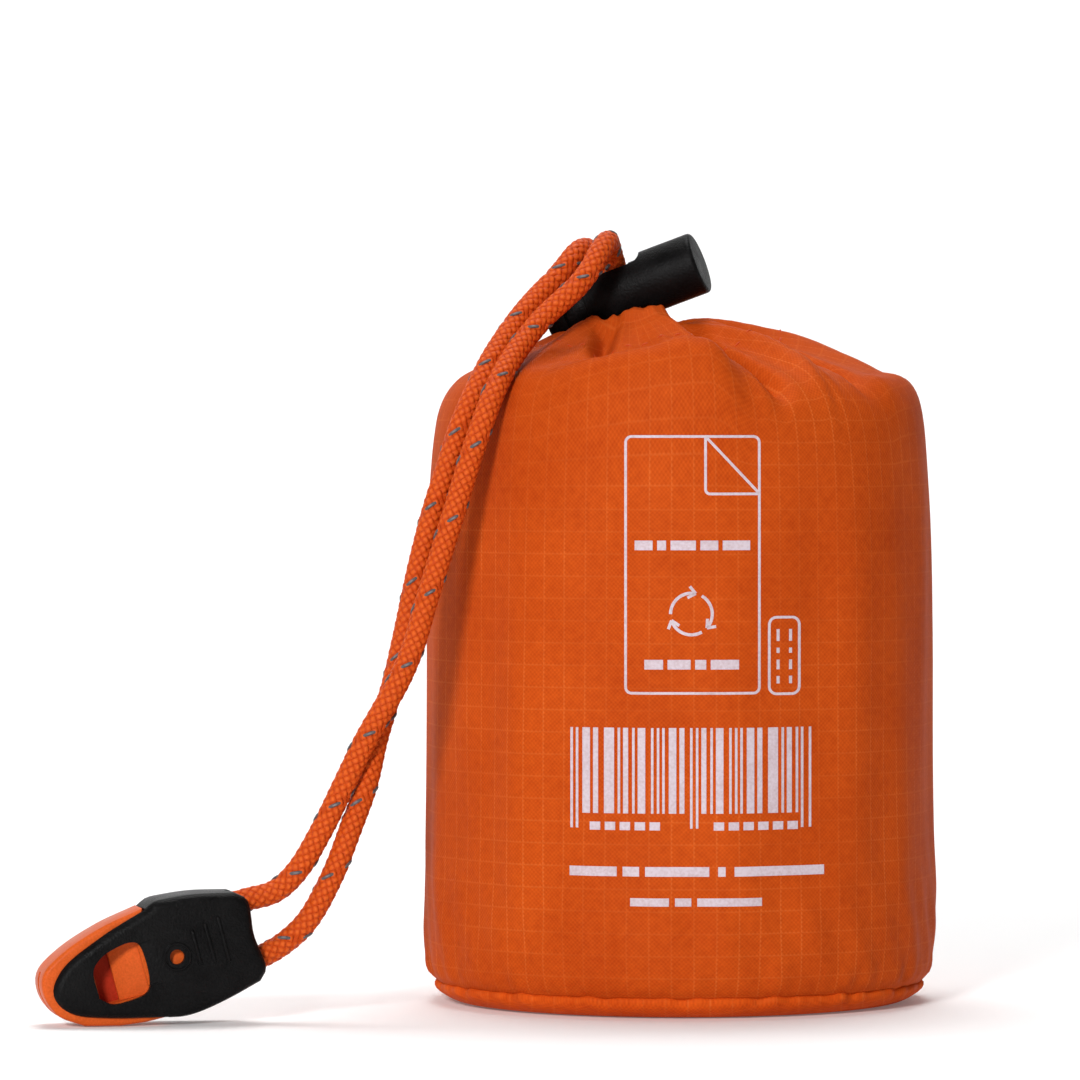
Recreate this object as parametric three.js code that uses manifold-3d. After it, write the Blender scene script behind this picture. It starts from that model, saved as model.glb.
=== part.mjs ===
// A small emergency sleeping bag packed in its drawstring stuff sack, in millimetres, +Z up.
// The origin is the middle of the sack's base, on the surface that it stands on.
// The sack is one filled solid with its shoulder, gathers and mouth. The round base panel, the
// drawstring's two free strands, the cord lock and the whistle are separate pieces.

import * as THREE from "three";
import { mergeVertices } from "three/addons/utils/BufferGeometryUtils.js";
import Module from "manifold-3d";

const wasm = await Module();
wasm.setup();

// Driving dimensions, mm
const GAP = 0.3;
const SACK_SEGMENTS = 84;
const SHOULDER_RADIUS = 34;
const MOUTH = { x: -6.8, y: 0.2 };
const CORD_RADIUS = 1.5;
const CORD_SIDES = 8;
const CORD_STEPS = 44;

const LOCK_RADIUS = 4.35;
const LOCK_LENGTH = 22.7;
const CAP_LENGTH = 2.9;
const BARREL_START = 6.0;
const BORE_RADIUS = 3.8;
const BORE_END = 21.0;
const STEM_END = 14.5;
const CORD_HOLE = { start: 6.7, end: 15.1, halfWidth: 3.05, corner: 1.2 };
const STEM_SLOT = { start: 4.1, end: 13.2, halfWidth: 3.0, corner: 1.1 };
const LOCK_END = { x: -17.9, y: 2.5, z: 94.7 };
const LOCK_RISE = THREE.MathUtils.degToRad(20.1);
const LOCK_TURN = THREE.MathUtils.degToRad(-12.2);

const WHISTLE_CENTRE = { x: -71.1, y: -39, z: 9.0 };
const WHISTLE_RISE = THREE.MathUtils.degToRad(15);
const WHISTLE_TURN = THREE.MathUtils.degToRad(12);
const COVER_THICKNESS = 9.6;
const BODY_THICKNESS = 7.2;
const SOCKET_RADIUS = 2.0;
const SOCKET_DEPTH = 5.0;
const SOCKET_HEIGHTS = { front: 3.9, back: -4.0 };
const COVER_END = 13.8;

// The filled sack's section, from the middle of its underside out, up the wall and in to the mouth
const SACK_SECTION = [
  { radius: 0, height: 1.5 },
  { radius: 14, height: 1.5 },
  { radius: 27.2, height: 1.5 },
  { radius: 30.4, height: 1.75 },
  { radius: 32.2, height: 2.5 },
  { radius: 33.4, height: 3.1 },
  { radius: 34.3, height: 3.5 },
  { radius: 35.0, height: 4.8 },
  { radius: 35.3, height: 8.5 },
  { radius: 35.35, height: 15 },
  { radius: 35.2, height: 22 },
  { radius: 35.05, height: 31 },
  { radius: 34.95, height: 41 },
  { radius: 34.9, height: 51 },
  { radius: 34.85, height: 60 },
  { radius: 34.7, height: 68 },
  { radius: 34.4, height: 74 },
  { radius: 33.95, height: 78.6 },
  { radius: 33.3, height: 81.6 },
  { radius: 32.3, height: 83.7 },
  { radius: 31.1, height: 85.2 },
  { radius: 29.5, height: 86.5 },
  { radius: 27.4, height: 87.5 },
  { radius: 24.8, height: 88.4 },
  { radius: 21.8, height: 89.5 },
  { radius: 18.8, height: 90.4 },
  { radius: 16, height: 91.2 },
  { radius: 13.4, height: 92.2 },
  { radius: 11, height: 93.1 },
  { radius: 9, height: 93.7 },
  { radius: 7.4, height: 94.0 },
  { radius: 6.0, height: 93.8 },
  { radius: 4.9, height: 92.9 },
  { radius: 4.3, height: 91.4 },
  { radius: 2.2, height: 90.6 },
  { radius: 0, height: 90.6 },
];

// The folds of the sack's top. Each runs through three plan points from the mouth outwards, with its
// rise there, and is as wide as right and left say, seen along it.
const FOLDS = [
  {
    name: "seat of the lock", rise: [-1.3, -3.2, -2.9], right: 5.3, left: 5.3,
    a: [-5.5, 0.6], b: [-11, 1.6], c: [-17.5, 2.8],
  },
  {
    name: "front hollow", rise: [-3.4, -2.6, -0.8], right: 2.8, left: 3,
    a: [-9.2, -5], b: [-10.4, -14], c: [-10.8, -27],
  },
  {
    name: "mouth frill", rise: [0.2, 0.9, 1.9], right: 1.8, left: 1.8,
    a: [-9, -4.8], b: [-5, -5.3], c: [-3.2, -5.2],
  },
  {
    name: "left front ridge", rise: [0.8, 0.8, 0.3], right: 3, left: 3,
    a: [-13, -4], b: [-17, -11], c: [-22, -20],
  },
  {
    name: "front facet", rise: [0.8, 1.4, 1], right: 4, left: 4.5,
    a: [-3.5, -6], b: [-2, -17], c: [-0.5, -28.5],
  },
  {
    name: "front shoulder", rise: [0.8, 4.4, 6.3], right: 7, left: 7,
    a: [-19.5, -25], b: [-8.5, -30.8], c: [3, -31.5],
  },
  {
    name: "panel edge", rise: [0.4, 0.9, 0.6], right: 4, left: 1.8,
    a: [-0.5, -8], b: [3.6, -19], c: [11, -29.3],
  },
  {
    name: "deep crevice", rise: [-1.4, -3.6, -2.4], right: 2.7, left: 4,
    a: [2, -7], b: [8, -20], c: [15, -29.5],
  },
  {
    name: "second roll", rise: [0.9, 2.2, 1.6], right: 2.8, left: 3.5,
    a: [4, -4.5], b: [13, -16], c: [19.5, -26.5],
  },
  {
    name: "second valley", rise: [-1.1, -2, -1.2], right: 2.4, left: 2.4,
    a: [7, -1.5], b: [16, -9.5], c: [25, -20],
  },
  {
    name: "rear roll", rise: [0.1, 2, 0.6], right: 6, left: 5.5,
    a: [0, 2.5], b: [14, 1.5], c: [27, -5],
  },
  {
    name: "right shoulder", rise: [1.6, 2.4, 1.6], right: 5, left: 5,
    a: [29, -14], b: [32.8, 0], c: [28, 17],
  },
  {
    name: "side crease", rise: [-0.5, -0.9, -0.5], right: 1.6, left: 1.6,
    a: [18, -21], b: [20.5, -24.5], c: [22.5, -26.5],
  },
  {
    name: "back right valley", rise: [-0.8, -1.5, -0.8], right: 3, left: 3,
    a: [-1, 7], b: [11, 12], c: [22, 18],
  },
  {
    name: "back roll", rise: [0.3, 1.2, 1.2], right: 4, left: 4,
    a: [-5, 8], b: [0, 17], c: [7, 28],
  },
  {
    name: "back valley", rise: [-0.8, -1.6, -0.6], right: 2.8, left: 2.8,
    a: [-8, 8], b: [-9, 17], c: [-10, 28],
  },
  {
    name: "back left roll", rise: [0.5, 1.5, 0.8], right: 4, left: 4,
    a: [-11, 6], b: [-17, 15], c: [-21, 24],
  },
  {
    name: "left valley", rise: [-0.4, -1, -0.5], right: 3, left: 3,
    a: [-15, 6], b: [-22, 9], c: [-30, 13],
  },
  {
    name: "back shoulder", rise: [1.8, 2.6, 1.2], right: 6, left: 6,
    a: [18, 27], b: [0, 32.5], c: [-18, 27.5],
  },
];

// Shallow dents and swells of the wall: where, how wide and high, and how far out (mm)
const WALL_DENTS = [
  { turn: -152, height: 22, halfTurn: 13, halfHeight: 20, out: -0.5 },
  { turn: -128, height: 34, halfTurn: 12, halfHeight: 26, out: 0.35 },
  { turn: -96, height: 14, halfTurn: 16, halfHeight: 16, out: 0.3 },
  { turn: -35, height: 58, halfTurn: 20, halfHeight: 30, out: 0.3 },
  { turn: -8, height: 30, halfTurn: 15, halfHeight: 24, out: -0.3 },
  { turn: 48, height: 50, halfTurn: 18, halfHeight: 30, out: -0.5 },
  { turn: 84, height: 20, halfTurn: 18, halfHeight: 22, out: 0.3 },
  { turn: 122, height: 60, halfTurn: 20, halfHeight: 28, out: -0.5 },
  { turn: 165, height: 40, halfTurn: 16, halfHeight: 28, out: 0.25 },
];

// The round base panel, dished up at its rim to the seam
const BASE_SECTION = [
  { radius: 0, height: 0 },
  { radius: 28.8, height: 0 },
  { radius: 31.2, height: 0.35 },
  { radius: 32.7, height: 1.1 },
  { radius: 33.5, height: 2.0 },
  { radius: 33.45, height: 2.5 },
  { radius: 32.9, height: 2.4 },
  { radius: 31.9, height: 1.7 },
  { radius: 30.2, height: 1.3 },
  { radius: 27.6, height: 1.1 },
  { radius: 0, height: 1.1 },
];

// The two strands' routes, from inside the mouth through the lock, over the sack's front left
// shoulder and down to the whistle
const FRONT_STRAND = [
  [-5.7, -1.1, 92.6], [-6.4, -0.95, 94.75], [-7.2, -0.8, 97], [-7.9, -0.65, 99.1],
  [-8.6, -0.55, 101.1], [-9.1, -0.9, 102.7], [-9.5, -1.95, 104.1], [-9.75, -3.65, 105.05],
  [-10, -5.6, 105.2], [-10.55, -7.65, 104.55], [-11.4, -9.6, 103.2], [-12.3, -11.1, 101.5],
  [-14.2, -12.7, 99], [-16.2, -13.4, 97.1], [-18.3, -14.2, 95.2], [-20.5, -15.8, 92.7],
  [-22.6, -18.6, 89.9], [-24.4, -22, 86.9], [-25.9, -24.8, 83.5], [-27.3, -26.4, 79.7],
  [-28.8, -27.2, 75.2], [-30.6, -28, 69.3], [-32.4, -28.8, 63.4], [-34.6, -29.8, 56.3],
  [-36.4, -30.8, 50.1], [-38.2, -31.9, 45.8], [-40.3, -32.9, 42], [-42.8, -33.8, 37.6],
  [-45.7, -34.3, 31.6], [-48.7, -34.7, 25.5], [-52, -35.1, 20.1], [-54.9, -35.5, 17.5],
];
const BACK_STRAND = [
  [-7.8, 1.4, 91.6], [-8.45, 1.5, 93.9], [-9.25, 1.7, 96.15], [-9.85, 1.9, 98.15],
  [-10.55, 2.1, 100.1], [-11.05, 2.1, 101.4], [-11.7, 1.65, 102.75], [-12.5, 0.6, 103.8],
  [-13.3, -0.9, 104.3], [-14.2, -2.8, 104.1], [-15.2, -4.6, 103.1], [-16.35, -6.15, 101.6],
  [-17.9, -7.6, 99.9], [-19.9, -9.2, 97.9], [-21.9, -11.2, 95.7], [-23.7, -13.4, 93.4],
  [-25.3, -15.8, 90.9], [-27.3, -19.6, 87.2], [-29.1, -22, 83.5], [-30.7, -23.4, 79.7],
  [-32.2, -24.3, 75.1], [-34, -25.2, 69.2], [-35.3, -26, 63.4], [-36.7, -26.9, 56.2],
  [-38, -27.6, 50], [-39, -28.4, 45.6], [-40.1, -29.3, 41.8], [-41.3, -30.2, 37.7],
  [-42.7, -32.3, 31.5], [-44.9, -33.9, 25.4], [-47.1, -34.5, 19.7], [-50.4, -35, 13.7],
  [-53.2, -35.3, 10.9],
];

const ORANGE_CLOTH = { color: 0xd8581c, roughness: 0.62, metalness: 0 };
const ORANGE_CORD = { color: 0xe0601e, roughness: 0.7, metalness: 0 };
const ORANGE_PLASTIC = { color: 0xe86a2c, roughness: 0.4, metalness: 0 };
const BLACK_PLASTIC = { color: 0x1b1a1a, roughness: 0.45, metalness: 0 };

// Turns a three.js geometry into a solid that can be cut and joined.
function solid(geometry) {
  const bare = geometry.clone();
  bare.deleteAttribute("normal");
  bare.deleteAttribute("uv");
  const merged = mergeVertices(bare, 1e-3);
  const vertProperties = new Float32Array(merged.attributes.position.array);
  const triVerts = new Uint32Array(merged.index.array);
  return new wasm.Manifold(new wasm.Mesh({ numProp: 3, vertProperties, triVerts }));
}

function geometryOf(shape) {
  const mesh = shape.getMesh();
  const geometry = new THREE.BufferGeometry();
  geometry.setAttribute("position", new THREE.BufferAttribute(mesh.vertProperties, 3));
  geometry.setIndex(new THREE.BufferAttribute(mesh.triVerts, 1));
  geometry.computeVertexNormals();
  return geometry;
}

function piece(name, geometry, finish) {
  const mesh = new THREE.Mesh(geometry, new THREE.MeshStandardMaterial(finish));
  mesh.name = name;
  return mesh;
}

// A turned solid about +Z from rows of radius and height.
function turned(section, segments) {
  const profile = section.map((row) => new THREE.Vector2(row.radius, row.height));
  return new THREE.LatheGeometry(profile, segments).rotateX(Math.PI / 2);
}

// A turned solid about +X from rows of radius and place along the axis.
function turnedAlongX(section, segments) {
  const profile = section.map((row) => new THREE.Vector2(row.radius, row.along));
  return new THREE.LatheGeometry(profile, segments).rotateZ(-Math.PI / 2);
}

// A plate outlined in X and Z, centred on Y = 0.
function plate(shape, thickness, bevel) {
  const options = { depth: thickness - 2 * bevel, bevelEnabled: bevel > 0 };
  const rounding = { bevelThickness: bevel, bevelSize: bevel, bevelOffset: -bevel, bevelSegments: 2 };
  const geometry = new THREE.ExtrudeGeometry(shape, { ...options, ...rounding });
  return geometry.translate(0, 0, bevel - thickness / 2).rotateX(Math.PI / 2);
}

function rod(radius, from, to, segments) {
  const section = [
    { radius: 0, along: from },
    { radius, along: from },
    { radius, along: to },
    { radius: 0, along: to },
  ];
  return turnedAlongX(section, segments);
}

function smooth(from, to, value) {
  const t = THREE.MathUtils.clamp((value - from) / (to - from), 0, 1);
  return t * t * (3 - 2 * t);
}

// How much a fold raises the cloth at a plan point. The fold's line is a curve through its three points.
function foldRise(fold, x, y) {
  const steps = 14;
  let best = { gap: Infinity };
  for (let i = 0; i <= steps; i += 1) {
    const t = i / steps;
    const [wa, wb, wc] = [(1 - t) * (1 - 2 * t), 4 * t * (1 - t), t * (2 * t - 1)];
    const px = wa * fold.a[0] + wb * fold.b[0] + wc * fold.c[0];
    const py = wa * fold.a[1] + wb * fold.b[1] + wc * fold.c[1];
    const gap = Math.hypot(x - px, y - py);
    if (gap < best.gap) {
      best = { gap, px, py, rise: wa * fold.rise[0] + wb * fold.rise[1] + wc * fold.rise[2] };
    }
  }
  const side = (fold.c[0] - fold.a[0]) * (y - best.py) - (fold.c[1] - fold.a[1]) * (x - best.px);
  const reach = best.gap / (side > 0 ? fold.left : fold.right);
  return reach < 1 ? best.rise * (1 - reach * reach) ** 2 : 0;
}

function dentDepth(dent, turn, z) {
  const apart = THREE.MathUtils.euclideanModulo(turn - dent.turn + 180, 360) - 180;
  const reach = Math.hypot(apart / dent.halfTurn, (z - dent.height) / dent.halfHeight);
  return reach < 1 ? dent.out * (1 - reach * reach) ** 2 : 0;
}

// Moves one point of the turned sack to its place in the gathered, folded cloth.
function drape(point) {
  const ring = Math.hypot(point.x, point.y);
  const turn = THREE.MathUtils.radToDeg(Math.atan2(point.y, point.x));
  const top = smooth(70, 82, point.z);
  if (ring > SHOULDER_RADIUS - 2 && point.z < 84) {
    const out = WALL_DENTS.reduce((sum, dent) => sum + dentDepth(dent, turn, point.z), 0);
    point.multiply(new THREE.Vector3(1 + out / ring, 1 + out / ring, 1));
  }
  const pull = top * Math.max(0, 1 - ring / SHOULDER_RADIUS);
  point.x += MOUTH.x * pull;
  point.y += MOUTH.y * pull;
  point.z += top * FOLDS.reduce((sum, fold) => sum + foldRise(fold, point.x, point.y), 0);
}

function makeSack() {
  const geometry = turned(SACK_SECTION, SACK_SEGMENTS);
  const position = geometry.attributes.position;
  const point = new THREE.Vector3();
  for (let i = 0; i < position.count; i += 1) {
    point.fromBufferAttribute(position, i);
    drape(point);
    position.setXYZ(i, point.x, point.y, point.z);
  }
  geometry.computeVertexNormals();
  return piece("sack", geometry, ORANGE_CLOTH);
}

function makeBasePanel() {
  return piece("base_panel", turned(BASE_SECTION, 48), ORANGE_CLOTH);
}

// A strand ends a little inside its socket in the whistle.
function makeStrand(name, route, socketHeight, whistle) {
  const socket = (along) => whistle.localToWorld(new THREE.Vector3(along, 0, socketHeight));
  const points = route.map((p) => new THREE.Vector3(...p));
  points.push(socket(COVER_END + 0.6), socket(COVER_END - SOCKET_DEPTH + GAP));
  const path = new THREE.CatmullRomCurve3(points, false, "centripetal");
  const section = new THREE.Shape();
  for (let i = 0; i < CORD_SIDES; i += 1) {
    const turn = (i / CORD_SIDES) * 2 * Math.PI;
    const [x, y] = [CORD_RADIUS * Math.cos(turn), CORD_RADIUS * Math.sin(turn)];
    if (i === 0) section.moveTo(x, y);
    else section.lineTo(x, y);
  }
  section.closePath();
  const options = { steps: CORD_STEPS, extrudePath: path, bevelEnabled: false };
  return piece(name, new THREE.ExtrudeGeometry(section, options), ORANGE_CORD);
}

// A long hole with rounded corners through the lock, along its local Z.
function longHole({ start, end, halfWidth, corner }) {
  const shape = new THREE.Shape();
  shape.moveTo(start + corner, -halfWidth);
  shape.lineTo(end - corner, -halfWidth);
  shape.absarc(end - corner, corner - halfWidth, corner, -Math.PI / 2, 0, false);
  shape.absarc(end - corner, halfWidth - corner, corner, 0, Math.PI / 2, false);
  shape.absarc(start + corner, halfWidth - corner, corner, Math.PI / 2, Math.PI, false);
  shape.absarc(start + corner, corner - halfWidth, corner, Math.PI, 1.5 * Math.PI, false);
  const depth = 3 * LOCK_RADIUS;
  const geometry = new THREE.ExtrudeGeometry(shape, { depth, curveSegments: 4, bevelEnabled: false });
  return solid(geometry.translate(0, 0, -depth / 2));
}

function makeLockBarrel() {
  const section = [
    { radius: 0, along: BORE_END },
    { radius: BORE_RADIUS, along: BORE_END },
    { radius: BORE_RADIUS, along: BARREL_START },
    { radius: LOCK_RADIUS - 0.3, along: BARREL_START },
    { radius: LOCK_RADIUS, along: BARREL_START + 0.3 },
    { radius: LOCK_RADIUS, along: LOCK_LENGTH - 0.6 },
    { radius: LOCK_RADIUS - 0.2, along: LOCK_LENGTH - 0.2 },
    { radius: LOCK_RADIUS - 0.6, along: LOCK_LENGTH },
    { radius: 0, along: LOCK_LENGTH },
  ];
  const barrel = solid(turnedAlongX(section, 28)).subtract(longHole(CORD_HOLE));
  return piece("lock_barrel", geometryOf(barrel), BLACK_PLASTIC);
}

function makeLockPlunger() {
  const stemRadius = BORE_RADIUS - GAP;
  const section = [
    { radius: 0, along: 0 },
    { radius: LOCK_RADIUS - 0.5, along: 0 },
    { radius: LOCK_RADIUS, along: 0.5 },
    { radius: LOCK_RADIUS, along: CAP_LENGTH - 0.3 },
    { radius: LOCK_RADIUS - 0.3, along: CAP_LENGTH },
    { radius: stemRadius, along: CAP_LENGTH },
    { radius: stemRadius, along: STEM_END },
    { radius: 0, along: STEM_END },
  ];
  const plunger = solid(turnedAlongX(section, 28)).subtract(longHole(STEM_SLOT));
  return piece("lock_plunger", geometryOf(plunger), BLACK_PLASTIC);
}

function outline(points) {
  const shape = new THREE.Shape();
  shape.moveTo(...points[0]);
  points.slice(1).forEach((p) => shape.lineTo(...p));
  shape.closePath();
  return shape;
}

// Points of an outline with a smooth curve through each stretch, each stretch from the last one's end.
function curvedPoints(stretches, perSpan) {
  return stretches.flatMap((stretch) => {
    const curve = new THREE.SplineCurve(stretch.map((p) => new THREE.Vector2(...p)));
    const points = curve.getPoints((stretch.length - 1) * perSpan);
    return points.slice(0, -1).map((p) => [p.x, p.y]);
  });
}

const COVER_OUTLINE = [
  [
    [0.2, 6.9], [-6.6, 4.9], [-12.6, 2.2], [-14.6, -0.4],
    [-14.3, -2.4], [-12.6, -4.2], [-8.6, -5.8], [-0.4, -8.0],
  ],
  [[-0.4, -8.0], [1.4, -8.4], [3.6, -8.45], [8.0, -7.8], [12.7, -6.7]],
  [[12.7, -6.7], [13.9, -5.3], [13.5, -0.5], [13.8, 4.3], [12.4, 5.7]],
  [[12.4, 5.7], [7.4, 6.95], [4.0, 7.4], [1.6, 7.5], [0.2, 6.9]],
];
const BODY_OUTLINE = [
  [[-0.1, 7.0], [-6.0, 6.05], [-12.0, 4.1], [-15.2, 2.0], [-15.8, -0.6], [-14.6, -3.8], [-11.5, -6.1]],
  [[-11.5, -6.1], [-6.9, -7.35]],
  [[-6.9, -7.35], [-3.5, -7.8], [-0.7, -7.9]],
];
const BODY_TONGUE = [[-0.7, -7.9], [-0.7, -6.2], [4.6, -6.0], [4.6, 5.2], [-0.1, 5.6]];
const WINDOW = [
  [-8.9, -2.9], [-8.7, 0.9], [-7.4, 2.2], [-5.6, 2.9], [-3.0, 3.2], [-1.9, 2.6],
  [-1.8, -2.9], [-2.6, -3.9], [-4.6, -4.3], [-7.4, -4.1],
];
// The air way behind the window, in length and depth: a deep slot, then the ramp that splits the air
const AIR_WAY = [[-8.7, -5], [-8.7, -0.4], [-5.9, -0.4], [-5.9, -1.2], [-2.0, -3.0], [-2.0, -5]];
const PIN_HOLE = { x: 2.6, z: -0.4, radius: 1.0, depth: 2.0 };
const BLOW_SLOT = { z: -1.0, halfHeight: 3.2, halfWidth: 0.65, depth: 5.0 };

// The body's outline, grown all round by a gap.
function bodyShape(gap) {
  const points = curvedPoints(BODY_OUTLINE, 2).concat(BODY_TONGUE).map((p) => new THREE.Vector2(...p));
  const outward = points.map((point, i) => {
    const along = points[(i + 1) % points.length].clone().sub(point).normalize();
    return new THREE.Vector2(along.y, -along.x);
  });
  const grown = points.map((point, i) => {
    const [before, after] = [outward[(i + points.length - 1) % points.length], outward[i]];
    const middle = before.clone().add(after).normalize();
    return point.clone().addScaledVector(middle, gap / middle.dot(after)).toArray();
  });
  return outline(grown);
}

function cutBox(width, depth, height, x, y, z) {
  return solid(new THREE.BoxGeometry(width, depth, height).translate(x, y, z));
}

function makeWhistleBody() {
  const bare = solid(plate(bodyShape(0), BODY_THICKNESS, 0.7));
  const airWay = new THREE.ExtrudeGeometry(outline(AIR_WAY), { depth: 7.3, bevelEnabled: false });
  const airCut = solid(airWay.translate(0, 0, -4.2));
  const { z, halfHeight, halfWidth, depth } = BLOW_SLOT;
  const slot = cutBox(depth * 2, halfWidth * 2, halfHeight * 2, -15.5, 0, z);
  return piece("whistle_body", geometryOf(bare.subtract(airCut).subtract(slot)), ORANGE_PLASTIC);
}

function makeWhistleCover() {
  let cover = solid(plate(outline(curvedPoints(COVER_OUTLINE, 2)), COVER_THICKNESS, 1.1));
  cover = cover.subtract(solid(plate(bodyShape(GAP * 1.4), BODY_THICKNESS + 2 * GAP, 0)));
  const front = new THREE.ExtrudeGeometry(outline(WINDOW), { depth: 4, bevelEnabled: false });
  cover = cover.subtract(solid(front.rotateX(Math.PI / 2).translate(0, -3, 0)));
  const pin = rod(PIN_HOLE.radius, 0, PIN_HOLE.depth, 12).rotateZ(-Math.PI / 2);
  const pinDepth = PIN_HOLE.depth - 0.8 - COVER_THICKNESS / 2;
  cover = cover.subtract(solid(pin.translate(PIN_HOLE.x, pinDepth, PIN_HOLE.z)));
  Object.values(SOCKET_HEIGHTS).forEach((height) => {
    const socket = rod(SOCKET_RADIUS, COVER_END - SOCKET_DEPTH, COVER_END + 3, 16);
    cover = cover.subtract(solid(socket.translate(0, 0, height)));
  });
  return piece("whistle_cover", geometryOf(cover), BLACK_PLASTIC);
}

const whistle = new THREE.Group();
whistle.position.set(WHISTLE_CENTRE.x, WHISTLE_CENTRE.y, WHISTLE_CENTRE.z);
whistle.rotation.set(0, -WHISTLE_RISE, WHISTLE_TURN, "ZYX");
whistle.add(makeWhistleBody(), makeWhistleCover());
whistle.updateMatrixWorld(true);

const lock = new THREE.Group();
lock.position.set(LOCK_END.x, LOCK_END.y, LOCK_END.z);
lock.rotation.set(0, -LOCK_RISE, LOCK_TURN, "ZYX");
lock.add(makeLockBarrel(), makeLockPlunger());

const packedBag = new THREE.Group();
packedBag.add(makeSack(), makeBasePanel(), lock, whistle);
packedBag.add(makeStrand("cord_front", FRONT_STRAND, SOCKET_HEIGHTS.front, whistle));
packedBag.add(makeStrand("cord_back", BACK_STRAND, SOCKET_HEIGHTS.back, whistle));

export default packedBag;
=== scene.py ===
# %% [markdown]
# # A small emergency sleeping bag, packed in its stuff sack
# The folded bag is out of sight. What shows is the orange sack around it, drawn shut and
# standing upright, with its cord, its cord lock and a whistle. Every piece is built in the
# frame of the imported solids: metres, +Z up, and the origin in the middle of the sack's base.

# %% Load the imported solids
import math

import bmesh
import bpy
import numpy as np
from mathutils import Matrix, Vector
from mathutils.bvhtree import BVHTree


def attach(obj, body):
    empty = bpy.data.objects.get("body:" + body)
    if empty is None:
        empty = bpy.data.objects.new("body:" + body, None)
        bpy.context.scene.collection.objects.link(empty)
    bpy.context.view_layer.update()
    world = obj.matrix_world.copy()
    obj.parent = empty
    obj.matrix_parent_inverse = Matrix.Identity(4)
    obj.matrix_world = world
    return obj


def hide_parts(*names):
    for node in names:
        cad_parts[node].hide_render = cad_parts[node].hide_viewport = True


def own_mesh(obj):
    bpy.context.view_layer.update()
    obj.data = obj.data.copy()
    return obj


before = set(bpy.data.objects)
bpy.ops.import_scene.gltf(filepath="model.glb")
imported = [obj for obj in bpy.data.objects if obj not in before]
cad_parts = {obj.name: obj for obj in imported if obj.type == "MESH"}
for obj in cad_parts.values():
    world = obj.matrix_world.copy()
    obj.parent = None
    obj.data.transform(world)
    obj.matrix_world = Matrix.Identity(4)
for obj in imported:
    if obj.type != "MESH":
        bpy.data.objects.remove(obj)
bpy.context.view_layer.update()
MM = 0.001
print("nodes:", ", ".join(sorted(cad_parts)))

# %% [markdown]
# ## The camera
# A long lens a metre away looks almost level at the sack's front, so that its sides stay
# parallel. The camera comes first, because the cords are measured against what it sees.

# %% Camera
lens = bpy.data.cameras.new("camera")
lens.lens, lens.sensor_width = 240, 36
lens.clip_start, lens.clip_end = 0.05, 30
camera = bpy.data.objects.new("camera", lens)
camera.location = Vector((-19.3, -1000, 83.4)) * MM
camera.rotation_euler = (math.radians(90 - 1.114), 0, 0)
bpy.context.scene.collection.objects.link(camera)
bpy.context.scene.camera = camera
print("camera at", [round(v, 3) for v in camera.location])

# %% [markdown]
# ## Small helpers for meshes
# Modelling by hand in Blender goes: add a primitive, shape it in edit mode, add modifiers and
# apply them. These helpers do the clicks between: they deselect everything first, select
# edges by where they are, and apply what was added. Cloth and cords come from grids of points.


# %% Helpers for modelling
def alone(obj):
    """Selects this piece only, in object mode."""
    bpy.ops.object.select_all(action="DESELECT")
    obj.select_set(True)
    bpy.context.view_layer.objects.active = obj
    return obj


def added(name):
    """Names the primitive that was just added and returns it."""
    obj = alone(bpy.context.object)
    obj.name = obj.data.name = name
    return obj


def edit(obj):
    """Goes into edit mode with nothing selected, and returns the mesh to select in."""
    alone(obj)
    bpy.ops.object.mode_set(mode="EDIT")
    bpy.ops.mesh.select_all(action="DESELECT")
    return bmesh.from_edit_mesh(obj.data)


def pick_edges(obj, test):
    """Goes into edit mode and selects the edges that pass a test of their middle, in mm."""
    mesh = edit(obj)
    bpy.ops.mesh.select_mode(type="EDGE")
    for edge in mesh.edges:
        middle = (edge.verts[0].co + edge.verts[1].co) / 2
        edge.select_set(test(edge, middle / MM))
    mesh.select_flush_mode()
    bmesh.update_edit_mesh(obj.data)


def done(obj):
    """Leaves edit mode, with every face pointing outwards."""
    bpy.ops.mesh.select_all(action="SELECT")
    bpy.ops.mesh.normals_make_consistent(inside=False)
    bpy.ops.object.mode_set(mode="OBJECT")
    return obj


def modified(obj, kind, **settings):
    """Adds a modifier, sets it and applies it."""
    alone(obj)
    modifier = obj.modifiers.new(kind.lower(), kind)
    for key, value in settings.items():
        setattr(modifier, key, value)
    bpy.ops.object.modifier_apply(modifier=modifier.name)


def cut(obj, *cutters):
    """Takes the cutters out of the piece, and removes them."""
    for cutter in cutters:
        modified(obj, "BOOLEAN", operation="DIFFERENCE", solver="EXACT", object=cutter)
        bpy.data.objects.remove(cutter)


def placed(obj, matrix=Matrix.Identity(4)):
    """Puts the piece's place into its mesh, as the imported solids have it."""
    obj.data.transform(matrix @ obj.matrix_basis)
    obj.matrix_basis = Matrix.Identity(4)
    return obj


def smooth(obj):
    """Shades the piece smooth, except over its sharp edges."""
    alone(obj)
    bpy.ops.object.shade_smooth_by_angle(angle=math.radians(35))


def from_grid(name, points, closed=False):
    """A mesh over a grid of points in mm, rows by columns, whose columns can close in a ring."""
    rows, columns = points.shape[:2]
    row, column = np.arange(rows - 1), np.arange(columns if closed else columns - 1)
    row, column = (a.ravel() for a in np.meshgrid(row * columns, column, indexing="ij"))
    after = (column + 1) % columns
    quads = np.stack([row + column, row + after, row + columns + after, row + columns + column], 1)
    mesh = bpy.data.meshes.new(name)
    mesh.from_pydata((points.reshape(-1, 3) * MM).tolist(), [], quads.tolist())
    obj = bpy.data.objects.new(name, mesh)
    bpy.context.scene.collection.objects.link(obj)
    return obj


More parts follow.
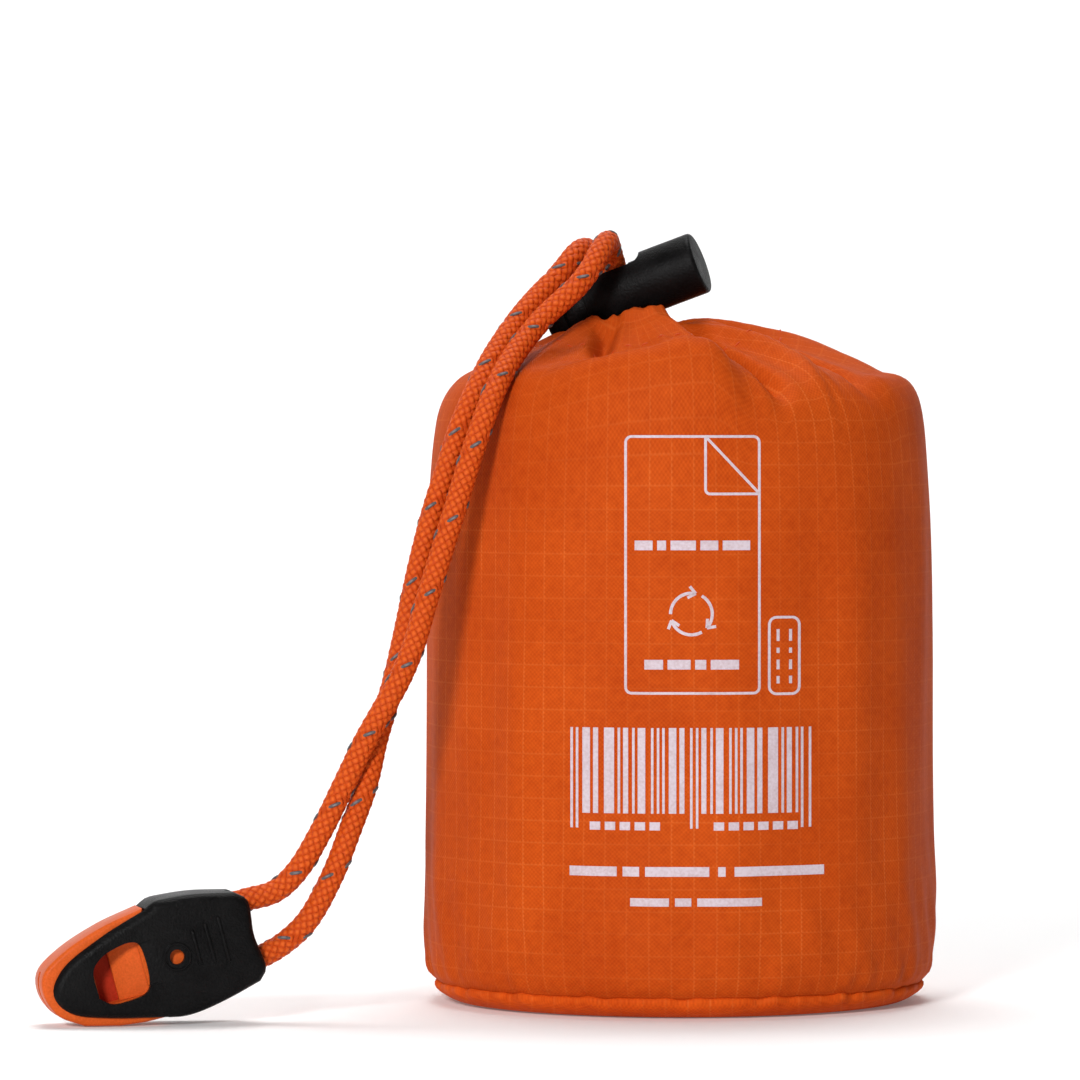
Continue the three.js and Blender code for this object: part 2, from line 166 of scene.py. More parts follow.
def from_tubes(name, tubes, kinds=None):
    """One mesh of several tubes with closed ends, each a grid of points in mm: rings by sides."""
    corners, quads, ends, shares, base = [], [], [], [], 0
    for number, points in enumerate(tubes):
        rings, sides = points.shape[:2]
        grid = np.meshgrid(np.arange(rings - 1), np.arange(sides), indexing="ij")
        ring, place = (a.ravel() for a in grid)
        first, after = base + ring * sides, (place + 1) % sides
        second = first + sides
        quads.append(np.stack([first + place, first + after, second + after, second + place], 1))
        top = base + (rings - 1) * sides
        ends += [list(range(base + sides - 1, base - 1, -1)), list(range(top, top + sides))]
        shares.append(np.full(len(quads[-1]), kinds[number] if kinds else 0))
        corners.append(points.reshape(-1, 3))
        base += rings * sides
    mesh = bpy.data.meshes.new(name)
    mesh.from_pydata((np.vstack(corners) * MM).tolist(), [], np.vstack(quads).tolist() + ends)
    mesh.polygons.foreach_set("material_index", np.concatenate([*shares, np.zeros(len(ends), int)]))
    mesh.shade_smooth()
    obj = bpy.data.objects.new(name, mesh)
    bpy.context.scene.collection.objects.link(obj)
    edit(obj)
    return done(obj)


print("helpers ready")

# %% [markdown]
# ## Shader maths
# A pattern such as a weave is easier to read as a sum than as a picture of wires. A Wave
# holds one output of a node, and the usual signs make the Math nodes between them.


# %% Shader helper
class Wave:
    """A number, vector or colour on its way through a material."""

    def __init__(self, tree, socket):
        self.tree, self.socket = tree, socket

    def node(self, kind, inputs=(), output=0, **settings):
        """Adds a node, sets it and wires the named inputs."""
        made = self.tree.nodes.new(kind)
        for key, value in settings.items():
            setattr(made, key, value)
        for name, value in dict(inputs).items():
            if isinstance(value, Wave):
                self.tree.links.new(value.socket, made.inputs[name])
            else:
                made.inputs[name].default_value = value
        return Wave(self.tree, made.outputs[output])

    def maths(self, operation, *others):
        """A Math node with this operation."""
        inputs = enumerate((self, *others))
        return self.node("ShaderNodeMath", inputs, operation=operation)

    def __add__(self, other):
        return self.maths("ADD", other)

    __radd__ = __add__

    def __sub__(self, other):
        return self.maths("SUBTRACT", other)

    def __rsub__(self, other):
        return self * -1.0 + other

    def __mul__(self, other):
        return self.maths("MULTIPLY", other)

    __rmul__ = __mul__

    def __mod__(self, other):
        return self.maths("FLOORED_MODULO", other)

    def __abs__(self):
        return self.maths("ABSOLUTE")

    def sin(self):
        return self.maths("SINE")

    def ramp(self, low, high, start=0.0, end=1.0):
        """Maps low to high onto start to end, and stops there."""
        inputs = {"Value": self, "From Min": low, "From Max": high, "To Min": start, "To Max": end}
        return self.node("ShaderNodeMapRange", inputs, clamp=True)

    def blend(self, first, second):
        """This share of the second colour over the first."""
        inputs = {0: self, 6: first, 7: second}
        return self.node("ShaderNodeMix", inputs, output=2, data_type="RGBA")

    def parts(self):
        """The three numbers of a vector."""
        split = self.node("ShaderNodeSeparateXYZ", {0: self}).socket.node
        return [Wave(self.tree, split.outputs[i]) for i in range(3)]


def finish_of(name, roughness, **constants):
    """A new material with its Principled shader, and a Wave to start its patterns from."""
    material = bpy.data.materials.new(name)
    material.use_nodes = True
    shader = material.node_tree.nodes["Principled BSDF"]
    shader.inputs["Roughness"].default_value = roughness
    for key, value in constants.items():
        shader.inputs[key.replace("_", " ")].default_value = value
    return material, shader, Wave(material.node_tree, None)


def wire(shader, socket, wave):
    """Wires a pattern to one of the shader's sockets."""
    wave.tree.links.new(wave.socket, shader.inputs[socket])


def coordinates(start, kind):
    """The piece's own place, as object, or its UV map, as uv."""
    return start.node("ShaderNodeTexCoord", output={"object": 3, "uv": 2}[kind])


def noise(start, where, scale, detail=3.0):
    """Soft random clouds of this scale, from 0 to 1."""
    return start.node("ShaderNodeTexNoise", {"Vector": where, "Scale": scale, "Detail": detail})


def bump(start, height, distance, strength, normal=None):
    """Bumps of this height pattern, with the distance in metres, on top of another bump."""
    inputs = {"Height": height, "Distance": distance, "Strength": strength}
    if normal is not None:
        inputs["Normal"] = normal
    return start.node("ShaderNodeBump", inputs)


print("shader helper ready")

# %% [markdown]
# ## A line through given points
# Both strands of the drawstring, the sack's section and the whistle's outlines follow a smooth
# line through a few points. The imported solids use the same kind of line, so that they agree.


# %% Smooth lines
def smooth_line(points, step):
    """Points every step mm along the smooth line through given points."""
    p = np.array(points, float)
    p = np.vstack([2 * p[0] - p[1], p, 2 * p[-1] - p[-2]])
    line = []
    for p0, p1, p2, p3 in zip(p, p[1:], p[2:], p[3:]):
        gaps = [max(np.linalg.norm(b - a), 1e-6) ** 0.5 for a, b in ((p0, p1), (p1, p2), (p2, p3))]
        m1 = (p1 - p0) / gaps[0] - (p2 - p0) / (gaps[0] + gaps[1]) + (p2 - p1) / gaps[1]
        m2 = (p2 - p1) / gaps[1] - (p3 - p1) / (gaps[1] + gaps[2]) + (p3 - p2) / gaps[2]
        m1, m2 = m1 * gaps[1], m2 * gaps[1]
        t = np.linspace(0, 1, 24, endpoint=False)[:, None]
        a, b = 2 * p1 - 2 * p2 + m1 + m2, -3 * p1 + 3 * p2 - 2 * m1 - m2
        line.append(p1 + t * (m1 + t * (b + t * a)))
    line = np.vstack([*line, p[-2][None]])
    along = np.concatenate([[0], np.cumsum(np.linalg.norm(np.diff(line, axis=0), axis=1))])
    wanted = np.linspace(0, along[-1], max(2, round(along[-1] / step) + 1))
    return np.stack([np.interp(wanted, along, line[:, i]) for i in range(line.shape[1])], 1)


def carried_frames(line):
    """Two directions square to the line at each point, carried along it without twist."""
    tangent = np.gradient(line, axis=0)
    tangent /= np.linalg.norm(tangent, axis=1)[:, None]
    side = np.zeros_like(line)
    across = np.cross(tangent[0], (0, 1, 0))
    for i, t in enumerate(tangent):
        across = across - t * np.dot(across, t)
        across /= np.linalg.norm(across)
        side[i] = across
    return tangent, side, np.cross(tangent, side)


def soft_step(low, high, value):
    """Goes from 0 at low to 1 at high, with soft ends."""
    t = np.clip((value - low) / (high - low), 0, 1)
    return t * t * (3 - 2 * t)


print("line helpers ready")

# %% [markdown]
# ## The drawstring
# It is one limp braided cord. Its two free strands come up out of the gathered mouth, go
# through the lock, fall over the sack's front shoulder, cross once and end in the whistle.
# A plain tube would look like rubber, so the braid is built as it is made: eight yarns wind
# one way and eight the other, each passing over and under those that it meets. The line of
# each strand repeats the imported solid's route.

# %% Routes of the two strands, in mm
FRONT_ROUTE = [
    (-5.7, -1.1, 92.6), (-6.4, -0.95, 94.75), (-7.2, -0.8, 97), (-7.9, -0.65, 99.1),
    (-8.6, -0.55, 101.1), (-9.1, -0.9, 102.7), (-9.5, -1.95, 104.1), (-9.75, -3.65, 105.05),
    (-10, -5.6, 105.2), (-10.55, -7.65, 104.55), (-11.4, -9.6, 103.2), (-12.3, -11.1, 101.5),
    (-14.2, -12.7, 99), (-16.2, -13.4, 97.1), (-18.3, -14.2, 95.2), (-20.5, -15.8, 92.7),
    (-22.6, -18.6, 89.9), (-24.4, -22, 86.9), (-25.9, -24.8, 83.5), (-27.3, -26.4, 79.7),
    (-28.8, -27.2, 75.2), (-30.6, -28, 69.3), (-32.4, -28.8, 63.4), (-34.6, -29.8, 56.3),
    (-36.4, -30.8, 50.1), (-38.2, -31.9, 45.8), (-40.3, -32.9, 42), (-42.8, -33.8, 37.6),
    (-45.7, -34.3, 31.6), (-48.7, -34.7, 25.5), (-52, -35.1, 20.1), (-54.9, -35.5, 17.5),
    (-58.58, -36.33, 16.49), (-63.59, -37.4, 15.12),
]
BACK_ROUTE = [
    (-7.8, 1.4, 91.6), (-8.45, 1.5, 93.9), (-9.25, 1.7, 96.15), (-9.85, 1.9, 98.15),
    (-10.55, 2.1, 100.1), (-11.05, 2.1, 101.4), (-11.7, 1.65, 102.75), (-12.5, 0.6, 103.8),
    (-13.3, -0.9, 104.3), (-14.2, -2.8, 104.1), (-15.2, -4.6, 103.1), (-16.35, -6.15, 101.6),
    (-17.9, -7.6, 99.9), (-19.9, -9.2, 97.9), (-21.9, -11.2, 95.7), (-23.7, -13.4, 93.4),
    (-25.3, -15.8, 90.9), (-27.3, -19.6, 87.2), (-29.1, -22, 83.5), (-30.7, -23.4, 79.7),
    (-32.2, -24.3, 75.1), (-34, -25.2, 69.2), (-35.3, -26, 63.4), (-36.7, -26.9, 56.2),
    (-38, -27.6, 50), (-39, -28.4, 45.6), (-40.1, -29.3, 41.8), (-41.3, -30.2, 37.7),
    (-42.7, -32.3, 31.5), (-44.9, -33.9, 25.4), (-47.1, -34.5, 19.7), (-50.4, -35, 13.7),
    (-53.2, -35.3, 10.9), (-56.58, -35.91, 8.86), (-61.59, -36.98, 7.49),
]
CORD_STEP = 0.25
front_line = smooth_line(FRONT_ROUTE, CORD_STEP)
back_line = smooth_line(BACK_ROUTE, CORD_STEP)
for name, line in (("front", front_line), ("back", back_line)):
    print(name, "strand", round((len(line) - 1) * CORD_STEP, 1), "mm")

# %% [markdown]
# ### Two strands that touch
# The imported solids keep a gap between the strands, and the real ones lie against each other.
# So the back strand's upper part is drawn towards the nearest point of the front strand. The
# pull fades out near the lock and low down, where the strands hang apart.

# %% Draw the strands together
# all in mm; the pull grows from 9 to 17 mm along the strand, and fades from 60 to 80 mm
TOUCHING, MOST_PULL = 3.12, 0.75
back_along = np.arange(len(back_line)) * CORD_STEP
apart = front_line[None] - back_line[:, None]
distances = np.linalg.norm(apart, axis=2)
least = distances.min(1)
toward = apart[np.arange(len(back_line)), distances.argmin(1)] / least[:, None]
fade = np.clip((back_along - 9) / 8, 0, 1) * np.clip((80 - back_along) / 20, 0, 1)
pull = np.clip(least - TOUCHING, 0, MOST_PULL) * soft_step(0, 1, fade)
pull = np.convolve(np.pad(pull, 12, mode="edge"), np.ones(25) / 25, mode="valid")
back_line += pull[:, None] * toward
print("back strand moved up to", round(float(pull.max()), 2), "mm")

# %% [markdown]
# ### The cord's yarns
# Each yarn is a flat bundle of filaments, shinier than the sack's cloth, with fine stripes
# along it. One yarn in each strand is a grey tracer that dips out of sight and back. The UV
# map counts the waves of over and under along a yarn, so that its crown, the place where it
# lies on top, can carry a painted highlight: a paler colour where the light would catch it.


# %% Yarn materials
def yarn_finish(name, light, dark, roughness, sheen):
    """A yarn's finish: a painted highlight on the crown of a darker yarn, with fine stripes along
    it.
    """
    constants = {"Sheen_Weight": sheen, "Sheen_Roughness": 0.4, "Specular_IOR_Level": 0.1}
    material, shader, start = finish_of(name, roughness, **constants)
    wave, around, _ = coordinates(start, "uv").parts()
    filaments = (around * 88.0 + wave * 5.0).sin()
    loose = noise(start, coordinates(start, "uv"), 3.0)
    # painted highlight: each yarn's crown, where it lies on top and faces out, is painted paler
    painted_crown_highlight = (wave * (2 * math.pi) + math.pi / 2).sin().ramp(0.1, 0.95)
    painted_crown_highlight = painted_crown_highlight * abs(around - 0.25).ramp(0.13, 0.03)
    share = (filaments * 0.1 + loose * 0.5 + painted_crown_highlight * 0.5).ramp(0.1, 1.0)
    wire(shader, "Base Color", share.blend((*dark, 1), (*light, 1)))
    wire(shader, "Normal", bump(start, filaments, 0.00003, 0.5))
    return material


# the light colours carry the painted crown highlight, mixed with random tone
yarn = yarn_finish("orange_yarn", (0.76, 0.13, 0.016), (0.48, 0.046, 0.003), 0.45, 0.0)
tracer = yarn_finish("grey_tracer_yarn", (0.27, 0.24, 0.25), (0.09, 0.08, 0.08), 0.4, 0.0)
core = yarn_finish("cord_core", (0.42, 0.04, 0.004), (0.3, 0.025, 0.002), 0.8, 0.0)
print("cord materials:", yarn.name, tracer.name, core.name)

# %% [markdown]
# ### Braiding
# A yarn turns round the cord once in 10.5 mm, and on that way meets each of the eight opposite
# yarns twice. Its distance from the middle follows a wave, high where it lies over and low
# where it is under. The tracer is narrower, and its wave is slower, so that it shows as dashes.

# %% Sizes of the braid, in mm
YARNS, BRAID_PITCH, YARN_SIDES = 16, 10.5, 7
YARN_WIDTH, TRACER_WIDTH, YARN_THICKNESS, CORE_RADIUS = 1.0, 0.48, 0.38, 1.12
YARN_DISTANCE, YARN_RISE, TRACER_DISTANCE, TRACER_RISE = 1.32, 0.1, 1.33, 0.17
print("yarns cross every", round(BRAID_PITCH / YARNS, 2), "mm")


# %% Braid one strand
def yarn_tube(line, frames, angle, distance, half_width, half_thickness):
    """One yarn as a flat tube: a ring of points at each step along its own winding line."""
    _, side, up = frames
    outward = side * np.cos(angle)[:, None] + up * np.sin(angle)[:, None]
    middle = line + outward * distance[:, None]
    direction = np.gradient(middle, axis=0)
    direction /= np.linalg.norm(direction, axis=1)[:, None]
    across = np.cross(direction, outward)
    turn = np.arange(YARN_SIDES) / YARN_SIDES * 2 * math.pi
    ring = across[:, None] * (half_width * np.cos(turn))[:, None]
    return middle[:, None] + ring + outward[:, None] * (half_thickness * np.sin(turn))[:, None]


def braid(name, line, tracer_number):
    """The strand's sixteen yarns and its core, as one mesh with the cord's own UV map."""
    frames = carried_frames(line)
    turn = np.arange(len(line)) * CORD_STEP * 2 * math.pi / BRAID_PITCH
    tubes, kinds = [], []
    for number in range(YARNS):
        way = 1 if number % 2 else -1
        angle = (number // 2) * math.pi / 4 + way * turn
        distance, width = YARN_DISTANCE + way * YARN_RISE * np.cos(8 * turn), YARN_WIDTH
        if number == tracer_number:
            wave = np.clip(2.6 * np.cos(4 * turn) + 0.6, -1, 1)
            distance, width = TRACER_DISTANCE + TRACER_RISE * wave, TRACER_WIDTH
        tubes.append(yarn_tube(line, frames, angle, distance, width / 2, YARN_THICKNESS / 2))
        kinds.append(1 if number == tracer_number else 0)
    tubes.append(yarn_tube(line, frames, turn * 0, turn * 0, CORE_RADIUS, CORE_RADIUS))
    kinds.append(2)
    obj = from_tubes(name, tubes, kinds)
    for material in (yarn, tracer, core):
        obj.data.materials.append(material)
    vertex = np.zeros(len(obj.data.loops), int)
    obj.data.loops.foreach_get("vertex_index", vertex)
    tube, ring = vertex // YARN_SIDES // len(line), vertex // YARN_SIDES % len(line)
    crossings = ring * CORD_STEP * 8 / BRAID_PITCH + np.where(tube % 2 == 1, 0.0, 0.5)
    uv = np.stack([crossings, vertex % YARN_SIDES / YARN_SIDES], 1)
    obj.data.uv_layers.new(name="cord").data.foreach_set("uv", uv.ravel())
    return obj


cord_front = braid("cord_front_braid", front_line, 3)
cord_back = braid("cord_back_braid", back_line, 7)
for cord_piece, node in ((cord_front, "cord_front"), (cord_back, "cord_back")):
    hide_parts(node)
    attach(cord_piece, "sack")
    print(cord_piece.name, len(cord_piece.data.polygons), "faces")

# %% [markdown]
# ## The sack
# One wall of thin ripstop goes round, with a hem at the top for the drawstring. Pulled shut
# over a full sack, the hem bunches into folds that run from the mouth to the shoulder. A
# cloth simulation would give other folds each time the numbers change, so the folds are
# listed one by one: the section is turned, and each fold raises or sinks a strip of the top.
# Where they lie follows the imported solid, with more and sharper ones than it has.

# %% The sack's section and folds, in mm
SECTION = [
    (0, 1.5), (14, 1.5), (27.2, 1.5), (30.4, 1.6), (32.2, 2.1), (33.2, 2.75), (34.1, 3.4),
    (34.95, 4.8), (35.3, 8.5), (35.35, 15), (35.2, 22), (35.05, 31), (34.95, 41), (34.9, 51),
    (34.85, 60), (34.7, 68), (34.4, 74), (33.95, 78.6), (33.3, 81.6), (32.3, 83.7), (31.1, 85.2),
    (29.5, 86.5), (27.4, 87.5), (24.8, 88.4), (21.8, 89.5), (18.8, 90.4), (16, 91.2),
    (13.4, 92.2), (11, 93.1), (9, 93.7), (7.4, 94.0), (6.0, 93.8), (4.9, 92.9), (4.3, 91.4),
    (2.2, 90.6), (0.01, 90.6),
]
MOUTH = (-6.8, 0.2)
# name, start, middle and end in plan, the rise at each, and the width to the right and left
FOLDS = [
    ("seat of the lock", (-5.5, 0.6), (-11, 1.6), (-17.5, 2.8), (-1.3, -3.2, -2.9), 5.3, 5.3),
    ("front hollow", (-9.6, -6.6), (-10.7, -12), (-10.8, -27), (-1.4, -3.4, -0.2), 2.4, 3.0),
    ("mouth frill", (-8, -5.6), (-5.4, -5.9), (-3.2, -5.8), (0.5, 1.5, 1.9), 2.2, 2.2),
    ("mouth rim", (-12, -5.0), (-9, -5.9), (-6.5, -5.9), (0.4, 1.5, 1.0), 1.7, 1.7),
    ("plunger's room", (-10.8, -2.2), (-13.4, -1.6), (-16.4, -0.6), (-0.5, -1.5, -0.8), 2.2, 2.2),
    ("left front ridge", (-13, -4), (-17, -11), (-22, -20), (0.8, 0.8, 0.3), 3, 3),
    ("front facet", (-3.5, -6), (-2, -17), (-0.5, -28.5), (0.8, 1.4, 1), 4, 4.5),
    ("front shoulder", (-19.5, -25), (-8.5, -30.8), (3, -31.5), (0.8, 4.4, 6.3), 7, 7),
    ("panel edge", (-0.5, -8), (3.6, -19), (11, -29.3), (0.8, 1.9, 0.6), 4, 1.1),
    ("deep crevice", (1.0, -7.3), (6.2, -19.2), (13.4, -28.2), (-3.0, -6.6, -1.4), 3.6, 2.5),
    ("second roll", (4, -4.5), (13, -16), (19.8, -24.8), (0.9, 2.1, 0.8), 3.4, 3.5),
    ("second valley", (7, -1.5), (16, -9.5), (24.6, -18.5), (-1.6, -3.4, -0.8), 2.2, 2.4),
    ("rear roll", (0, 2.5), (14, 1.5), (27, -5), (0.1, 2, 0.6), 6, 5.5),
    ("right shoulder", (29, -14), (32.8, 0), (28, 17), (1.6, 2.4, 1.6), 5, 5),
    ("side crease", (18, -21), (20.5, -24.5), (22.5, -26.5), (-0.5, -0.9, -0.5), 1.6, 1.6),
    ("back right valley", (-1, 7), (11, 12), (22, 18), (-0.8, -1.5, -0.8), 3, 3),
    ("back roll", (-5, 8), (0, 17), (7, 28), (0.3, 1.2, 1.2), 4, 4),
    ("back valley", (-8, 8), (-9, 17), (-10, 28), (-0.8, -1.6, -0.6), 2.8, 2.8),
    ("back left roll", (-11, 6), (-17, 15), (-21, 24), (0.5, 1.5, 0.8), 4, 4),
    ("left valley", (-15, 6), (-22, 9), (-30, 13), (-0.4, -1, -0.5), 3, 3),
    ("back shoulder", (18, 27), (0, 32.5), (-18, 27.5), (1.8, 2.6, 1.2), 6, 6),
]
# turn in degrees, height, half turn, half height, and how far out
DENTS = [
    (-152, 22, 13, 20, -0.5), (-128, 34, 12, 26, 0.35), (-96, 14, 16, 16, 0.3),
    (-35, 58, 20, 30, 0.3), (-8, 30, 15, 24, -0.3), (48, 50, 18, 30, -0.5),
    (84, 20, 18, 22, 0.3), (122, 60, 20, 28, -0.5), (165, 40, 16, 28, 0.25),
]
print(len(SECTION), "rows in the section,", len(FOLDS), "folds,", len(DENTS), "dents")

# %% [markdown]
# ### Turn and drape
# The section could be spun with the Spin tool. Here it is turned as a grid of points, because
# each point then moves on: dents in the wall come first, then the top is drawn to the mouth,
# which sits a little off the middle, and the folds come last.


# %% Turn and drape the section
SEGMENTS = 288
angles = np.arange(SEGMENTS) / SEGMENTS * 2 * math.pi


def turned(section):
    """The grid of points that a section gives when it is turned round the Z axis."""
    return np.stack([
        section[:, :1] * np.cos(angles), section[:, :1] * np.sin(angles),
        np.repeat(section[:, 1:], SEGMENTS, 1),
    ], -1)


def fold_rise(fold, x, y):
    """How much one fold raises the cloth over each plan point."""
    _, start, middle, end, rise, right, left = fold
    t = np.linspace(0, 1, 41)[:, None]
    shares = np.hstack([(1 - t) * (1 - 2 * t), 4 * t * (1 - t), t * (2 * t - 1)])
    line = shares @ np.array([start, middle, end], float)
    heights = shares @ np.array(rise, float)
    gap = np.hypot(x[..., None] - line[:, 0], y[..., None] - line[:, 1])
    near = gap.argmin(-1)
    along = np.subtract(end, start)
    to_left = along[0] * (y - line[near, 1]) - along[1] * (x - line[near, 0]) > 0
    reach = np.minimum(gap.min(-1) / np.where(to_left, left, right), 1)
    rounded, creased = (1 - reach**2) ** 2, (1 - reach) ** 2
    return heights[near] * np.where(heights[near] < 0, 0.35 * rounded + 0.65 * creased, rounded)


def draped(points):
    """Moves the turned sack's points to their places in the gathered cloth."""
    x, y, z = points[..., 0].copy(), points[..., 1].copy(), points[..., 2].copy()
    ring, turn = np.hypot(x, y), np.degrees(np.arctan2(y, x))
    wall = (ring > 32) & (z < 84)
    out = np.zeros_like(x)
    for centre, height, half_turn, half_height, depth in DENTS:
        apart = (turn - centre + 180) % 360 - 180
        reach = np.hypot(apart / half_turn, (z - height) / half_height)
        out += np.where(reach < 1, depth * (1 - reach**2) ** 2, 0)
    x, y = (v * (1 + np.where(wall, out, 0) / np.maximum(ring, 1)) for v in (x, y))
    top = soft_step(70, 82, z)
    pull = top * np.clip(1 - ring / 34, 0, None)
    x, y = x + MOUTH[0] * pull, y + MOUTH[1] * pull
    z = z + top * sum(fold_rise(fold, x, y) for fold in FOLDS)
    return np.stack([x, y, z], -1)


profile = smooth_line(SECTION, 0.85)
cloth = draped(turned(profile))
print("cloth grid", cloth.shape[:2])

# %% [markdown]
# ### Small gathers, puckers and creases
# Between the big folds the hem has many small gathers, which fade out towards the shoulder.
# The seam with the base panel draws the wall's lower edge in, a little unevenly, and soft
# creases run up the wall. All are sums of a few waves round the sack, with counts that don't
# fit into each other, so that no part looks like a copy of another.

# %% Waves round the sack
WALL_RADIUS = 35


def waves_round(rows, along=0):
    """A sum of waves round the sack, from count, phase, lean and size, in mm."""
    return sum(
        size * np.sin(count * angles + phase + lean * along) for count, phase, lean, size in rows
    )


def push_out(amount):
    """Moves the wall's points out from the axis, by mm at the wall's radius."""
    cloth[..., :2] *= (1 + amount / WALL_RADIUS)[..., None]


radius = np.repeat(profile[:, :1], SEGMENTS, 1)
level = np.repeat(profile[:, 1:], SEGMENTS, 1)
pucker = waves_round([(41, 0.3, 0, 0.13), (58, 1.9, 0, 0.11), (23, 3.2, 0, 0.1)])
print("puckers are up to", round(float(pucker.max()), 2), "mm deep")

# %% Add gathers, puckers and creases
gather = soft_step(30, 12, radius) * soft_step(3.2, 6, radius) * (level > 86)
waves = [(17, 0.4, 0.05, 0.24), (23, 2.1, -0.07, 0.2), (31, 4.4, 0.04, 0.12)]
front_share = 1 - 0.7 * np.exp(-(((np.degrees(angles) - 275) / 40) ** 2))
cloth[..., 2] += gather * waves_round(waves, radius) * front_share
seam = np.exp(-(((level - 4.6) / 2.2) ** 2)) * (level > 3.7)
push_out(seam * (pucker - 0.05))
wall_share = soft_step(5, 14, level) * soft_step(84, 60, level) * (radius > 30)
creases = [(9, 1.0, 0.025, 0.2), (14, 2.6, -0.035, 0.17), (22, 0.5, 0.02, 0.1)]
push_out(wall_share * waves_round(creases, level))
low_share = np.exp(-(((level - 11) / 8) ** 2)) * (radius > 30)
push_out(low_share * waves_round([(33, 0, 0.4, 0.12), (19, 0, -0.3, 0.1)], level))
print("gathers and creases added")

# %% [markdown]
# ### The wall's seam
# The wall is one panel, joined to itself at the back. The seam stands up as a low ridge with
# a furrow beside it, where the stitches go.

# %% Raise the wall's seam
SEAM_COLUMN = 92
beside = np.arange(SEGMENTS) - SEAM_COLUMN
raised = 0.55 * np.exp(-((beside / 1.1) ** 2)) - 0.22 * np.exp(-(((beside - 2.4) / 1.3) ** 2))
seam_share = soft_step(4.5, 8, level) * soft_step(91, 87, level) * (radius > 25)
push_out(seam_share * raised)
cloth[..., 2] += 0.5 * (seam_share * raised) * (level > 85)
sack = from_grid("sack_cloth", cloth, closed=True)
print("sack has", len(sack.data.polygons), "faces")

# %% [markdown]
# ### A UV map in millimetres
# The ripstop's grid has to follow the cloth, so the UV map counts millimetres of cloth: round
# the sack, and up the wall and over the shoulder.


# %% Lay out the cloth
def cloth_map(obj, columns, across, up):
    """Writes a UV map, in mm of cloth, for a grid that closes round its columns."""
    layer = obj.data.uv_layers.new(name="cloth")
    corners = np.zeros(len(obj.data.loops), int)
    obj.data.loops.foreach_get("vertex_index", corners)
    row, column = corners // columns, corners % columns
    seam_side = (np.arange(len(corners)) % 4 == 1) | (np.arange(len(corners)) % 4 == 2)
    column = np.where((column == 0) & seam_side, columns, column)
    uv = np.stack([column / columns * across, up[row]], 1)
    layer.data.foreach_set("uv", uv.ravel())


CLOTH_ROUND = 219.0
steps = np.linalg.norm(np.diff(profile, axis=0), axis=1)
climb = np.concatenate([[0], np.cumsum(steps)])
cloth_map(sack, SEGMENTS, CLOTH_ROUND, climb)
sack.data.shade_smooth()
print("cloth runs", round(climb[-1]), "mm from the base's middle to the mouth")

# %% [markdown]
# ### Ripstop
# Thin plain-woven polyester with a thicker pair of yarns every 3 mm both ways, which catches
# the light as a row of pale dots. The weave itself is a fine checker of bumps.

# %% Ripstop material
RIPSTOP_SQUARE, WEAVE_PERIOD = 3.0, 0.6
DEEP_CLOTH, PALE_CLOTH, GRID_YARN = (0.39, 0.044, 0.004), (0.56, 0.082, 0.008), (0.82, 0.22, 0.05)


def ripstop(name, uv, light=1.0):
    """The cloth's finish, on its UV map or on its place; light above 1 makes its colours paler, as
    painted light.
    """
    material, shader, start = finish_of(name, 0.55, Specular_IOR_Level=0.02)
    place = coordinates(start, "object")
    if uv:
        across, up, _ = coordinates(start, "uv").parts()
        slub = noise(start, coordinates(start, "uv"), 0.9, 2.0)
    else:
        across, up, _ = (part * 1000.0 for part in place.parts())
        slub = noise(start, place, 900.0, 2.0)
    wide = noise(start, place, 60.0)
    tau = 2 * math.pi / WEAVE_PERIOD
    warp, weft = (across * tau).sin(), (up * tau).sin()
    over = (warp * weft).ramp(-1, 1)
    half = RIPSTOP_SQUARE / 2
    rows = abs((up + 0.35) % RIPSTOP_SQUARE - half).ramp(0.17, 0.05) * 0.7
    columns = abs((across + 0.9) % RIPSTOP_SQUARE - half).ramp(0.17, 0.05)
    row_dots, column_dots = (yarns.ramp(-0.7, 0.5, 0.35, 1.0) for yarns in (warp, weft))
    grid = (rows * row_dots).maths("MAXIMUM", columns * column_dots)
    share = (wide * 0.45 + slub * 0.35 + over * 0.2).ramp(0.3, 0.72)
    base = share.blend(*((*(light * c for c in colour), 1) for colour in (DEEP_CLOTH, PALE_CLOTH)))
    strength = wide.ramp(0.38, 0.68, 0.08, 0.3)
    wire(shader, "Base Color", (grid * strength).blend(base, (*GRID_YARN, 1)))
    wire(shader, "Roughness", over.ramp(0, 1, 0.62, 0.5))
    weave = bump(start, over, 0.00006, 0.5)
    wire(shader, "Normal", bump(start, grid, 0.00006, 0.4, weave))
    return material


cloth_finish = ripstop("orange_ripstop_cloth", True)
sack.data.materials.append(cloth_finish)
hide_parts("sack")
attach(sack, "sack")
print("sack dressed")

# %% [markdown]
# ## Print
# The sack's front carries a screen print in pale ink. Ink lies on the cloth as a very thin
# layer, so each stroke is a thin ribbon, laid on by a ray from the front to the cloth.

# %% Lay ribbons on the cloth
surface = BVHTree.FromObject(sack, bpy.context.evaluated_depsgraph_get())


def laid(x, z, proud):
    """The point of the sack's front at this place, this far out of the cloth, in mm."""
    place, normal, _, _ = surface.ray_cast(Vector((x, -60, z)) * MM, Vector((0, 1, 0)))
    return np.array(place + normal * proud * MM) / MM


